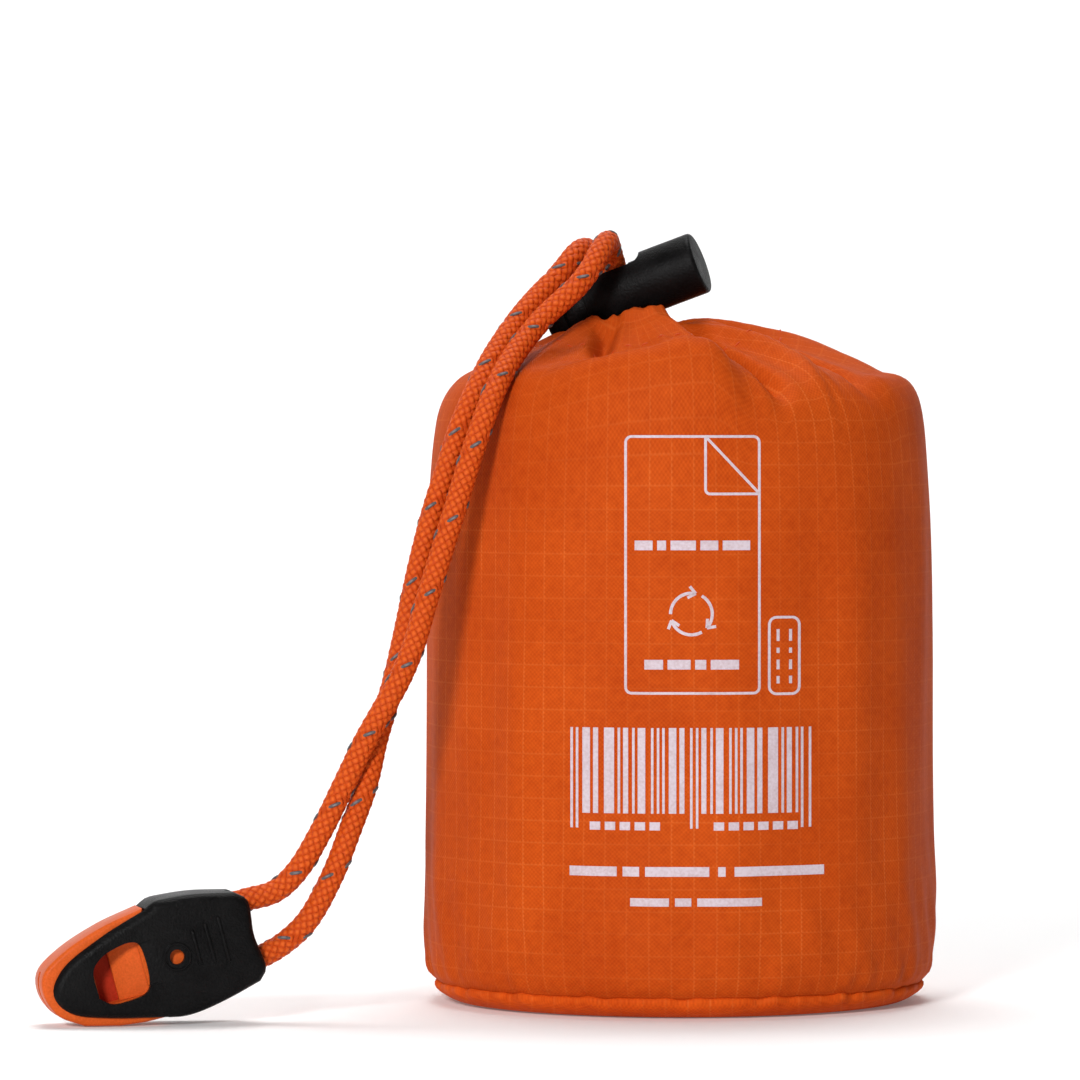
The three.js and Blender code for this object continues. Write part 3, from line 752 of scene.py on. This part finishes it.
def ribbon(points, width):
    """A thin stroke of this width, in mm, along points in X and Z."""
    points = np.array(points, float)
    steps = np.linalg.norm(np.diff(points, axis=0), axis=1)
    along = np.concatenate([[0], np.cumsum(steps)])
    wanted = np.unique(np.concatenate([np.arange(0, along[-1], 0.6), along]))
    points = np.stack([np.interp(wanted, along, points[:, i]) for i in (0, 1)], 1)
    way = np.gradient(points, axis=0)
    way /= np.linalg.norm(way, axis=1)[:, None]
    side = np.stack([-way[:, 1], way[:, 0]], 1) * width / 2
    rings = []
    for point, half in zip(points, side):
        top = [laid(*(point + half * share), 0.05) for share in (-1, 0, 1)]
        under = [laid(*(point + half * share), -0.12) for share in (1, 0, -1)]
        rings.append(top + under)
    return np.array(rings)


def arc(x, z, radius, start, end):
    """Points round a middle in X and Z, from one angle to another in degrees."""
    turn = np.radians(np.linspace(start, end, max(4, int(abs(end - start) / 8))))
    return np.stack([x + radius * np.cos(turn), z + radius * np.sin(turn)], 1)


def rounded_box(left, right, low, high, corner):
    """The outline of a box with round corners, back to where it starts."""
    middle = (left + right) / 2
    return np.vstack([
        [(middle, low)], arc(right - corner, low + corner, corner, -90, 0),
        arc(right - corner, high - corner, corner, 0, 90),
        arc(left + corner, high - corner, corner, 90, 180),
        arc(left + corner, low + corner, corner, 180, 270), [(middle, low)],
    ])


print("strokes can be laid")

# %% [markdown]
# ### What the ink draws
# A sheet with a turned corner, three arrows in a circle, and a tall box with round corners. The
# block of bars is made up, its widths repeat in a fixed order, and the rows are plain dashes.

# %% Draw the sheet, the arrows and the box
THIN, BOLD = 0.36, 0.4
strokes = [
    ribbon(rounded_box(-7.8, 10.15, 44.05, 78.5, 0.8), 0.35),
    ribbon([(2.9, 78.4), (2.9, 71.4), *arc(3.5, 71.4, 0.6, 180, 270), (10.1, 70.8)], THIN),
    ribbon([(3.0, 78.4), (10.1, 70.9)], THIN),
    ribbon(rounded_box(11.5, 15.6, 43.9, 54.2, 1.0), 0.35),
]
ARROWS_MIDDLE, ARROWS_RADIUS = (1.0, 54.7), 2.8
for turn in (180, 60, -60):
    strokes.append(ribbon(arc(*ARROWS_MIDDLE, ARROWS_RADIUS, turn, turn - 98), 0.42))
    end = math.radians(turn - 102)
    tip = ARROWS_MIDDLE + ARROWS_RADIUS * np.array([math.cos(end), math.sin(end)])
    barbs = [np.array([math.cos(end + side), math.sin(end + side)]) for side in (0.9, 2.24)]
    strokes += [ribbon([tip, tip + 1.25 * way], BOLD) for way in barbs]
for low, high in ((45.3, 46.3), (47.2, 48.5), (49.4, 50.1), (51.0, 52.6)):
    strokes += [ribbon([(x, low), (x, high)], BOLD) for x in (12.7, 14.4)]
print(len(strokes), "strokes so far")

# %% Draw the bars and the dashes
BAR_WIDTHS = (0.36, 0.36, 1.08, 0.72, 1.44, 0.36, 0.72, 0.36, 1.08, 0.36)
BAR_GAPS = (0.36, 0.5, 0.36, 0.72, 0.42)
BARS, LONG_BARS = 30, (0, 1, 14, 15, 28, 29)
BAR_TOP, BAR_FOOT, LONG_FOOT = 39.4, 27.9, 25.9
bar_left = -15.2
for number in range(BARS):
    is_long = number in LONG_BARS
    width = THIN if is_long else BAR_WIDTHS[number % len(BAR_WIDTHS)]
    middle, foot = bar_left + width / 2, LONG_FOOT if is_long else BAR_FOOT
    strokes.append(ribbon([(middle, foot), (middle, BAR_TOP)], width * 0.94))
    bar_left += width + BAR_GAPS[number % len(BAR_GAPS)]
# height, width, and the ends of each dash
DASHES = [
    (63.9, 1.3, ((-6.6, -4.2), (-3.6, -2.4), (-1.8, 1.6), (2.2, 4.6), (5.2, 8.9))),
    (47.9, 1.3, ((-5.3, -2.8), (-2.2, 0.9), (1.5, 3.0), (3.6, 7.4))),
    (20.1, 1.3, ((-15.3, -9.0), (-8.2, -6.0), (-5.2, 3.4), (4.6, 5.6), (6.8, 19.0))),
    (16.0, 1.1, ((-7.2, -2.0), (-1.2, 1.0), (1.8, 10.5))),
    (26.2, 1.1, ((-12.6, -11.2), (-10.6, -9.2), (-8.6, -7.2), (-6.6, -5.2), (-4.6, -3.2))),
    (26.2, 1.1, ((4.0, 5.4), (6.0, 7.4), (8.0, 9.4), (10.0, 11.4), (12.0, 13.4), (14.0, 15.4))),
]
for height, width, row in DASHES:
    strokes += [ribbon([(start, height), (end, height)], width) for start, end in row]
print(len(strokes), "strokes, and the bars end at", round(bar_left, 2))

# %% [markdown]
# ### Ink
# The ink is dull and a little patchy, and the weave shows through it as fine grain.

# %% Ink the print
prints = from_tubes("screen_print", strokes)
smooth(prints)
ink, ink_shader, start = finish_of("pale_screen_ink", 0.6, Specular_IOR_Level=0.2)
place = coordinates(start, "object")
weave_through = noise(start, place, 2600.0, 2.0)
patchy = noise(start, place, 180.0)
share = (weave_through * 0.6 + patchy * 0.4).ramp(0.3, 0.6)
wire(ink_shader, "Base Color", share.blend((0.47, 0.35, 0.37, 1), (0.59, 0.5, 0.55, 1)))
wire(ink_shader, "Normal", bump(start, weave_through, 0.00004, 0.6))
prints.data.materials.append(ink)
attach(prints, "sack")
print("print has", len(strokes), "strokes and", len(prints.data.polygons), "faces")

# %% [markdown]
# ## Stitches
# The drawstring runs in a hem. Its row of stitches comes round the top of the sack, half way
# between the mouth and the shoulder. Another row runs up the wall's seam. Each stitch is a
# short piece of thread whose two ends go down into the cloth.


# %% Sew the channel and the wall's seam
def stitch(points, radius):
    """One stitch of round thread along these points, in mm."""
    still = np.zeros(len(points))
    return yarn_tube(points, carried_frames(points), still, still, radius, radius)


HEM_RADIUS, COLUMNS_APART, THREAD_STEP = 17.5, 6, 0.3
hem_row = int(np.argmin(np.abs(profile[:, 0] - HEM_RADIUS) + (profile[:, 1] < 80) * 99))
stitches = []
for first in range(0, SEGMENTS, COLUMNS_APART):
    columns = [(first + i) % SEGMENTS for i in range(4)]
    thread = cloth[hem_row, columns] + (0, 0, 0.02)
    thread[[0, -1], 2] -= 0.22
    stitches.append(stitch(smooth_line(thread, THREAD_STEP), 0.13))
wall_rows = (profile[:, 0] > 31) & (profile[:, 1] > 6) & (profile[:, 1] < 85)
side_line = smooth_line(cloth[wall_rows, SEAM_COLUMN + 3], THREAD_STEP)
ON_THE_SIDE, SIDE_APART = 7, 9
for first in range(0, len(side_line) - SIDE_APART + 1, SIDE_APART):
    thread = side_line[first:first + ON_THE_SIDE] * (1.0012, 1.0012, 1)
    thread[[0, -1], :2] *= 0.994
    stitches.append(stitch(thread, 0.12))
channel = from_tubes("channel_stitches", stitches)
thread_finish = yarn_finish("orange_thread", (0.72, 0.12, 0.015), (0.45, 0.04, 0.003), 0.5, 0.05)
channel.data.materials.append(thread_finish)
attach(channel, "sack")
print(len(stitches), "stitches")

# %% [markdown]
# ## The base panel
# A disc of the same cloth, sewn to the wall inside out and turned, so that its rim rolls up
# round the seam. It carries the sack, so its middle lies flat. The rim takes its puckers from
# the same waves as the wall, because one seam holds both. Its colours are painted 1.25 times
# paler than the wall's, as painted light.

# %% Turn the base panel
# the section in mm, from the middle of the underside round the rim and back
PANEL = [
    (0.01, 0), (28.8, 0), (31.2, 0.35), (32.7, 1.1), (33.55, 2.0), (33.65, 2.7),
    (33.2, 3.0), (31.9, 2.1), (30.2, 1.4), (27.6, 1.1), (0.01, 1.1),
]
rim = smooth_line(PANEL[1:-1], 0.5)
flat_under = np.linspace(PANEL[0], PANEL[1], 24)[:-1]
flat_over = np.linspace(PANEL[-2], PANEL[-1], 24)[1:]
panel_profile = np.vstack([flat_under, rim, flat_over])
panel_points = turned(panel_profile)
edge = soft_step(31.8, 33.5, np.repeat(panel_profile[:, :1], SEGMENTS, 1))
panel_points[..., :2] *= (1 + edge * (pucker * 1.2 + 0.1) / 34)[..., None]
panel_points[..., 2] += edge * pucker * 0.6
base_panel = from_grid("base_panel_cloth", panel_points, closed=True)
base_panel.data.shade_smooth()
# painted light: the wall's cloth, painted 1.25 times paler for the base panel
base_panel.data.materials.append(ripstop("orange_ripstop_base_painted_light", False, 1.25))
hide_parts("base_panel")
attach(base_panel, "sack")
print("base panel", len(base_panel.data.polygons), "faces")

# %% [markdown]
# ## The cord lock
# A moulded barrel with a long hole across it, and a plunger that a spring pushes out. The
# hole in the plunger and the hole in the barrel pinch the cords between them. The lock's axis
# rises to the right, so it is modelled lying along X and then turned into place.

# %% The lock's frame
LOCK = (
    Matrix.Translation(Vector((-17.9, 2.5, 94.7)) * MM)
    @ Matrix.Rotation(math.radians(-12.2), 4, "Z")
    @ Matrix.Rotation(math.radians(-20.1), 4, "Y")
)
print("lock points along", [round(v, 3) for v in LOCK.to_3x3() @ Vector((1, 0, 0))])

# %% [markdown]
# ### Bars and holes
# Cylinders make the bars and the bores. Rims are bevelled before any hole is cut, while a
# bar's end still has one clean ring of edges. A cube with its upright edges bevelled makes
# the cutter for a long hole.


# %% Helpers for bars and holes
def rod(name, radius, start, end, sides=64):
    """A round bar along X, from start to end in mm."""
    bpy.ops.mesh.primitive_cylinder_add(
        vertices=sides, radius=radius * MM, depth=(end - start) * MM,
        location=((start + end) / 2 * MM, 0, 0), rotation=(0, math.pi / 2, 0),
    )
    return placed(added(name))


def round_end(obj, x, width, segments):
    """Bevels the rim of a bar's end, which lies at this x, in mm."""
    pick_edges(obj, lambda e, m: abs(m.x - x) < 0.01)
    bpy.ops.mesh.bevel(offset=width * MM, segments=segments)
    return done(obj)


def block(name, middle, size):
    """A box by its middle point and its size, in mm."""
    bpy.ops.mesh.primitive_cube_add(size=1, location=[v * MM for v in middle])
    made = added(name)
    made.scale = [v * MM for v in size]
    return placed(made)


def long_hole(name, start, end, half_width, corner):
    """A cutter for a long hole with rounded corners, straight through along Z."""
    cutter = block(name, ((start + end) / 2, 0, 0), (end - start, 2 * half_width, 14))
    pick_edges(cutter, lambda e, m: abs(e.verts[0].co.z - e.verts[1].co.z) > 0.01)
    bpy.ops.mesh.bevel(offset=corner * MM, segments=8)
    return done(cutter)


print("bar helpers ready")

# %% [markdown]
# ### Barrel
# A round bar with soft rims, bored from the plunger's side. Its far end stays closed, because
# the spring pushes against it, and the long hole goes across through both walls.

# %% Barrel
LOCK_RADIUS = 4.35
BARREL_START, BARREL_END, BORE_RADIUS, BORE_END = 6.0, 22.7, 3.8, 21.0
barrel = rod("lock_barrel_moulding", LOCK_RADIUS, BARREL_START, BARREL_END)
round_end(barrel, BARREL_END, width=0.55, segments=5)
round_end(barrel, BARREL_START, width=0.22, segments=3)
bore = rod("bore", BORE_RADIUS, BARREL_START - 1, BORE_END)
cut(barrel, bore, long_hole("cord_hole", start=6.7, end=15.1, half_width=3.05, corner=1.2))
print("barrel", len(barrel.data.polygons), "faces")

# %% [markdown]
# ### Plunger
# A round head for the thumb, joined to a thinner stem that slides in the bore. The stem has a
# long hole of its own, which lines up with the barrel's when the head is pressed in.

# %% Plunger
HEAD_LENGTH, STEM_RADIUS, STEM_END = 2.9, 3.5, 14.5
plunger = rod("lock_plunger_moulding", LOCK_RADIUS, 0, HEAD_LENGTH)
round_end(plunger, 0, width=0.6, segments=5)
round_end(plunger, HEAD_LENGTH, width=0.25, segments=3)
stem = rod("stem", STEM_RADIUS, HEAD_LENGTH - 0.9, STEM_END)
modified(plunger, "BOOLEAN", operation="UNION", solver="EXACT", object=stem)
bpy.data.objects.remove(stem)
cut(plunger, long_hole("stem_hole", start=4.1, end=13.2, half_width=3.0, corner=1.1))
print("plunger", len(plunger.data.polygons), "faces")

# %% [markdown]
# ### The lock's spring
# A little of the spring shows in the barrel's hole, beyond the plunger. It is a steel wire
# wound from the plunger's end to the barrel's end wall; the real one shortens as the plunger
# goes in, and this one keeps its length.

# %% Spring
COIL_START, COIL_LENGTH, COIL_TURNS, COIL_RADIUS, WIRE_RADIUS = 14.75, 6.0, 6.5, 2.6, 0.22
coil_turn = np.linspace(0, COIL_TURNS * 2 * math.pi, 240)
coil = np.stack([
    COIL_START + COIL_LENGTH * coil_turn / coil_turn[-1],
    COIL_RADIUS * np.cos(coil_turn), COIL_RADIUS * np.sin(coil_turn),
], 1)
tangent = np.gradient(coil, axis=0)
tangent /= np.linalg.norm(tangent, axis=1)[:, None]
outward = coil * (0, 1, 1) / COIL_RADIUS
outward -= tangent * (outward * tangent).sum(1)[:, None]
outward /= np.linalg.norm(outward, axis=1)[:, None]
bent = np.cross(tangent, outward)
ring_turn = (np.arange(8) / 8 * 2 * math.pi)[:, None]
wire_points = coil[:, None] + WIRE_RADIUS * (
    outward[:, None] * np.cos(ring_turn) + bent[:, None] * np.sin(ring_turn)
)
spring = from_grid("lock_spring", wire_points, closed=True)
edit(spring)
bpy.ops.mesh.select_mode(type="EDGE")
bpy.ops.mesh.select_non_manifold()
bpy.ops.mesh.fill_holes(sides=0)
done(spring)
spring.data.shade_smooth()
print("spring", len(spring.data.polygons), "faces")

# %% [markdown]
# ### Plastic and steel
# Both the lock and the whistle's cover have a fine spark-eroded grain: small bumps, and a
# little cloudy change of gloss. The orange plastic has the same finish with hardly any grain,
# and the spring is bare steel.


# %% Hard finishes
def plastic(name, colour, roughness, grain):
    """A moulded plastic in this colour, with grain as the bumps' strength."""
    material, shader, start = finish_of(name, roughness, Specular_IOR_Level=0.07)
    place = coordinates(start, "object")
    speck = noise(start, place, 3600.0, 2.0)
    cloud = noise(start, place, 240.0)
    share = (speck * 0.6 + cloud * 0.4).ramp(0.35, 0.7)
    light = tuple(c * 1.35 + 0.004 for c in colour)
    wire(shader, "Base Color", share.blend((*colour, 1), (*light, 1)))
    wire(shader, "Roughness", cloud.ramp(0.3, 0.7, roughness - 0.06, roughness + 0.08))
    wire(shader, "Normal", bump(start, speck, 0.00009, grain))
    return material


black = plastic("black_grained_plastic", (0.0022, 0.002, 0.0021), 0.4, 1.0)
bright = plastic("orange_whistle_plastic", (0.5, 0.078, 0.011), 0.36, 0.1)
steel, steel_shader, start = finish_of("spring_steel", 0.25, Metallic=1.0)
steel_cloud = noise(start, coordinates(start, "object"), 800.0)
wire(steel_shader, "Base Color", steel_cloud.blend((0.55, 0.55, 0.55, 1), (0.75, 0.74, 0.72, 1)))
print("hard finishes:", black.name, bright.name, steel.name)

# %% [markdown]
# ### Put the lock in its place
# The barrel and the spring belong to the sack, and the plunger is a body of its own. The spring
# lies between the plunger's end and the barrel's end wall, in a mesh of its own.

# %% Dress the lock
for piece, material, node, body in (
    (barrel, black, "lock_barrel", "sack"),
    (plunger, black, "lock_plunger", "plunger"),
    (spring, steel, None, "sack"),
):
    placed(piece, LOCK)
    piece.data.materials.append(material)
    if node:
        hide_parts(node)
        smooth(piece)
    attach(piece, body)
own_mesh(spring)
print("lock dressed")

# %% [markdown]
# ## The whistle
# An orange mouthpiece body is pushed into a black cover, whose two plates run along both of
# its faces. A window in the front plate shows the body's ramp, which splits the air. The
# whistle lies slanted, so it is modelled flat along X and Z, and then turned.

# %% The whistle's frame and outlines, in mm
WHISTLE = (
    Matrix.Translation(Vector((-71.1, -39.0, 9.0)) * MM)
    @ Matrix.Rotation(math.radians(12), 4, "Z")
    @ Matrix.Rotation(math.radians(-15), 4, "Y")
)
COVER_OUTLINE = [
    [
        (0.2, 6.9), (-6.6, 4.9), (-12.6, 2.2), (-14.6, -0.4), (-14.3, -2.4), (-12.6, -4.2),
        (-8.6, -5.8), (-0.4, -8.0),
    ],
    [(-0.4, -8.0), (1.4, -8.4), (3.6, -8.45), (8.0, -7.8), (12.7, -6.7)],
    [(12.7, -6.7), (13.9, -5.3), (13.5, -0.5), (13.8, 4.3), (12.4, 5.7)],
    [(12.4, 5.7), (7.4, 6.95), (4.0, 7.4), (1.6, 7.5), (0.2, 6.9)],
]
BODY_OUTLINE = [
    [
        (-0.1, 7.0), (-6.0, 6.05), (-12.0, 4.1), (-15.2, 2.0), (-15.8, -0.6), (-14.6, -3.8),
        (-11.5, -6.1),
    ],
    [(-11.5, -6.1), (-6.9, -7.35)],
    [(-6.9, -7.35), (-3.5, -7.8), (-0.7, -7.9)],
    [(-0.7, -7.9), (-0.7, -6.2)],
    [(-0.7, -6.2), (4.6, -6.0)], [(4.6, -6.0), (4.6, 5.2)], [(4.6, 5.2), (-0.1, 5.6)],
    [(-0.1, 5.6), (-0.1, 7.0)],
]
WINDOW = [
    (-8.9, -2.9), (-8.7, 0.9), (-7.4, 2.2), (-5.6, 2.9), (-3.0, 3.2), (-1.9, 2.6),
    (-1.8, -2.9), (-2.6, -3.9), (-4.6, -4.3), (-7.4, -4.1),
]
BODY_HALF, HOLLOW_HALF, COVER_HALF = 3.6, 3.9, 4.8
OUTLINE_STEP = 0.7
print("the whistle is", 2 * COVER_HALF, "mm thick")

# %% [markdown]
# ### Flat mouldings
# A filled circle is added, its corners are moved to the outline, and the face is extruded to
# the moulding's thickness. Bevels then round the rims of both faces.


# %% Helpers for flat mouldings
def outline_points(stretches, step):
    """Points along smooth stretches, each from the end of the last one."""
    return np.vstack([
        smooth_line(stretch, step)[:-1] if len(stretch) > 2 else np.array(stretch[:1], float)
        for stretch in stretches
    ])


def pushed(name, corners, way):
    """A solid from a flat outline of corners, extruded this way, in mm."""
    bpy.ops.mesh.primitive_circle_add(vertices=len(corners), radius=MM, fill_type="NGON")
    made = added(name)
    for vertex, corner in zip(made.data.vertices, corners):
        vertex.co = [v * MM for v in corner]
    edit(made)
    bpy.ops.mesh.select_all(action="SELECT")
    bpy.ops.mesh.extrude_region_move(TRANSFORM_OT_translate={"value": [v * MM for v in way]})
    return done(made)


def plate(name, outline, near, far):
    """A plate with this outline in X and Z, from depth near to depth far."""
    return pushed(name, [(x, near, z) for x, z in outline], (0, far - near, 0))


def upright(name, outline, low, high):
    """A block with this outline in X and Y, from height low to height high."""
    return pushed(name, [(x, y, low) for x, y in outline], (0, 0, high - low))


def round_rims(obj, half, width, segments):
    """Bevels the edges round both faces of a plate that is twice this half thick."""
    for depth in (-half, half):
        pick_edges(obj, lambda e, m: abs(m.y - depth) < 0.01)
        bpy.ops.mesh.bevel(offset=width * MM, segments=segments, clamp_overlap=True)
        done(obj)


print("moulding helpers ready")

# %% [markdown]
# ### Mouthpiece body
# One flat moulding with round rims. The blow slot runs in from its left end, and an air way
# with a sloping ramp is cut into its front, where the window shows it. The air way's floor has
# a deeper orange, because little light gets down there.

# %% Mouthpiece body
body_shape = outline_points(BODY_OUTLINE, OUTLINE_STEP)
whistle_body = plate("whistle_mouthpiece", body_shape, -BODY_HALF, BODY_HALF)
round_rims(whistle_body, BODY_HALF, width=0.8, segments=4)
AIR_WAY_FLOOR = -0.4
air_way = [
    (-8.7, -5), (-8.7, AIR_WAY_FLOOR), (-5.9, AIR_WAY_FLOOR),
    (-5.9, -1.2), (-2.0, -3.0), (-2.0, -5),
]
air_cut = upright("air_way", air_way, low=-4.2, high=3.1)
blow_slot = block("blow_slot", middle=(-15.5, 0, -1.0), size=(10, 1.3, 6.4))
cut(whistle_body, air_cut, blow_slot)
# the air way's floor faces take the second finish: painted shade
for face in whistle_body.data.polygons:
    if abs(face.center.y / MM - AIR_WAY_FLOOR) < 0.05 and face.normal.y < -0.9:
        face.material_index = 1
print("mouthpiece", len(whistle_body.data.polygons), "faces")

# %% [markdown]
# ### Cover
# A thicker plate with rounder rims, hollowed for the body with a small gap all round. A window
# shows the air way, and its right edge slopes. Two sockets take the cord's ends, and a small
# round hole goes through the front plate.

# %% Cover
cover_shape = outline_points(COVER_OUTLINE, OUTLINE_STEP)
cover = plate("whistle_cover_moulding", cover_shape, -COVER_HALF, COVER_HALF)
round_rims(cover, COVER_HALF, width=1.3, segments=6)
print("plain cover", len(cover.data.polygons), "faces")

# %% The room for the body
BODY_GAP = 0.42
hollow = plate("hollow", body_shape, -HOLLOW_HALF, HOLLOW_HALF)
mesh = bmesh.new()
mesh.from_mesh(hollow.data)
mesh.normal_update()
for vertex in mesh.verts:
    flat = [f.normal for f in vertex.link_faces if abs(f.normal.y) < 0.5]
    push = sum(flat, Vector()).normalized() if flat else Vector()
    vertex.co += push * (BODY_GAP * MM)
mesh.to_mesh(hollow.data)
mesh.free()
print("the room leaves", BODY_GAP, "mm round the body")

# %% The window, the small hole and the sockets
window_line = smooth_line([*WINDOW, WINDOW[0]], 0.35)[:-1]
window_cut = plate("window", window_line, near=-6.5, far=-3.0)
slope = [(-2.1, -5.4), (-2.1, -4.15), (0.3, -4.85), (0.3, -5.4)]
slope_cut = upright("window_slope", slope, low=-3.1, high=2.8)
PIN_X, PIN_Z = 2.6, -0.4
pin_cut = rod("pin_hole", radius=1.0, start=0, end=4, sides=32)
pin_place = Matrix.Translation((PIN_X * MM, -2.0 * MM, PIN_Z * MM))
placed(pin_cut, pin_place @ Matrix.Rotation(-math.pi / 2, 4, "Z"))
SOCKET_HEIGHTS = (3.9, -4.0)
sockets = [rod("socket", radius=2.0, start=8.8, end=17, sides=40) for _ in SOCKET_HEIGHTS]
for socket, height in zip(sockets, SOCKET_HEIGHTS):
    placed(socket, Matrix.Translation((0, 0, height * MM)))
cut(cover, hollow, window_cut, slope_cut, pin_cut, *sockets)
print("cover", len(cover.data.polygons), "faces")

# %% [markdown]
# ### Ring and grip ridges
# The cover's front has a raised ring round the small hole and three straight ridges for the
# fingers. They are sunk half into the plate and joined to the cover's mesh.

# %% Raise the ring and the ridges
bpy.ops.mesh.primitive_torus_add(
    major_radius=1.75 * MM, minor_radius=0.24 * MM, major_segments=40, minor_segments=10,
    location=(PIN_X * MM, -COVER_HALF * MM, PIN_Z * MM), rotation=(math.pi / 2, 0, 0),
)
grips = [placed(added("raised_ring"))]
for x, half in ((5.4, 2.4), (7.3, 2.8), (9.2, 3.2)):
    ridge = block("grip_ridge", middle=(x, -COVER_HALF, 0.2), size=(0.55, 0.5, 2 * half))
    edit(ridge)
    bpy.ops.mesh.select_all(action="SELECT")
    bpy.ops.mesh.bevel(offset=0.2 * MM, segments=3)
    grips.append(done(ridge))
alone(cover)
for grip in grips:
    grip.select_set(True)
bpy.ops.object.join()
print("cover with ring and ridges", len(cover.data.polygons), "faces")

# %% [markdown]
# ### Put the whistle in its place
# Both mouldings are turned to where the cords hold them, and belong to the sack's body. The
# orange one has a second finish for the air way's floor, a darker orange that is painted shade.

# %% Dress the whistle
# painted shade: a darker orange for the air way's floor, where little light gets down
deep = plastic("orange_plastic_painted_shade", (0.3, 0.018, 0.004), 0.5, 0.15)
for piece, materials, node, name in (
    (whistle_body, (bright, deep), "whistle_body", "orange_plastic"),
    (cover, (black,), "whistle_cover", "black_plastic"),
):
    placed(piece, WHISTLE)
    for material in materials:
        piece.data.materials.append(material)
    smooth(piece)
    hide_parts(node)
    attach(piece, "sack")
print("whistle dressed")

# %% [markdown]
# ## Each strand's line, every fourth point, in metres
# Each strand leaves the sack at the mouth and ends in the whistle, with the lock on its way.

for obj, line, route in ((cord_front, front_line, FRONT_ROUTE), (cord_back, back_line, BACK_ROUTE)):
    (line[::4] * MM).tolist()

# %% [markdown]
# ## The floor
# A sheet of pale paper lies under the sack and curves up behind it into a pale wall, so that
# no edge shows. It glows faintly, which keeps its shadows pale.

# %% Floor
bend = np.linspace(0, math.pi / 2, 25)
sweep = np.stack([900 + 500 * np.sin(bend), 500 - 500 * np.cos(bend)], 1)
sweep = np.vstack([[(-2600, 0), (0, 0)], sweep, [(1400, 2000)]])
floor_points = np.stack([
    np.stack([np.full(len(sweep), x), sweep[:, 0], sweep[:, 1]], 1)
    for x in np.linspace(-2000, 2000, 9)
])
floor = from_grid("floor", floor_points)
floor.data.shade_smooth()
paper, paper_shader, start = finish_of("pale_paper", 0.9)
paper_shader.inputs["Base Color"].default_value = (0.9, 0.9, 0.9, 1)
paper_shader.inputs["Emission Color"].default_value = (1, 1, 1, 1)
paper_shader.inputs["Emission Strength"].default_value = 0.1
floor.data.materials.append(paper)
print("floor laid")

# %% [markdown]
# ## Lights
# The key light is small and strong, and stands in front, above the camera and to its left. It
# gives the folds their shade and the cord its shadow. A weak light from behind left draws the
# sack's edge, and a weaker one at the right fills the dark side. Two wide ones hang above: one
# over the sack, and one that lights the wall behind it.


# %% Lights
def soft_light(name, place, size, power, target=(-0.01, 0, 0.05)):
    """A round area light, with its place and size in metres, aimed at the sack."""
    data = bpy.data.lights.new(name, "AREA")
    data.shape, data.size, data.energy = "DISK", size, power
    light = bpy.data.objects.new(name, data)
    light.location = place
    aim = Vector(target) - Vector(place)
    light.rotation_euler = aim.to_track_quat("-Z", "Y").to_euler()
    bpy.context.scene.collection.objects.link(light)


soft_light("key", (-0.4, -1.32, 0.5), size=0.26, power=16.5)
soft_light("side", (-1.2, 0.7, 0.4), size=0.5, power=2)
soft_light("fill", (1.1, -0.9, 0.5), size=0.7, power=0.4)
soft_light("top", (0.0, 0.25, 1.4), size=0.9, power=10)
soft_light("backdrop", (0.0, 0.5, 1.5), size=0.8, power=10, target=(0.0, 1.4, 0.4))
world = bpy.data.worlds.new("studio")
world.use_nodes = True
backdrop = world.node_tree.nodes["Background"]
backdrop.inputs["Color"].default_value = (1, 1, 1, 1)
backdrop.inputs["Strength"].default_value = 0.08
bpy.context.scene.world = world
bpy.context.scene.view_settings.view_transform = "Standard"
print("studio lit")
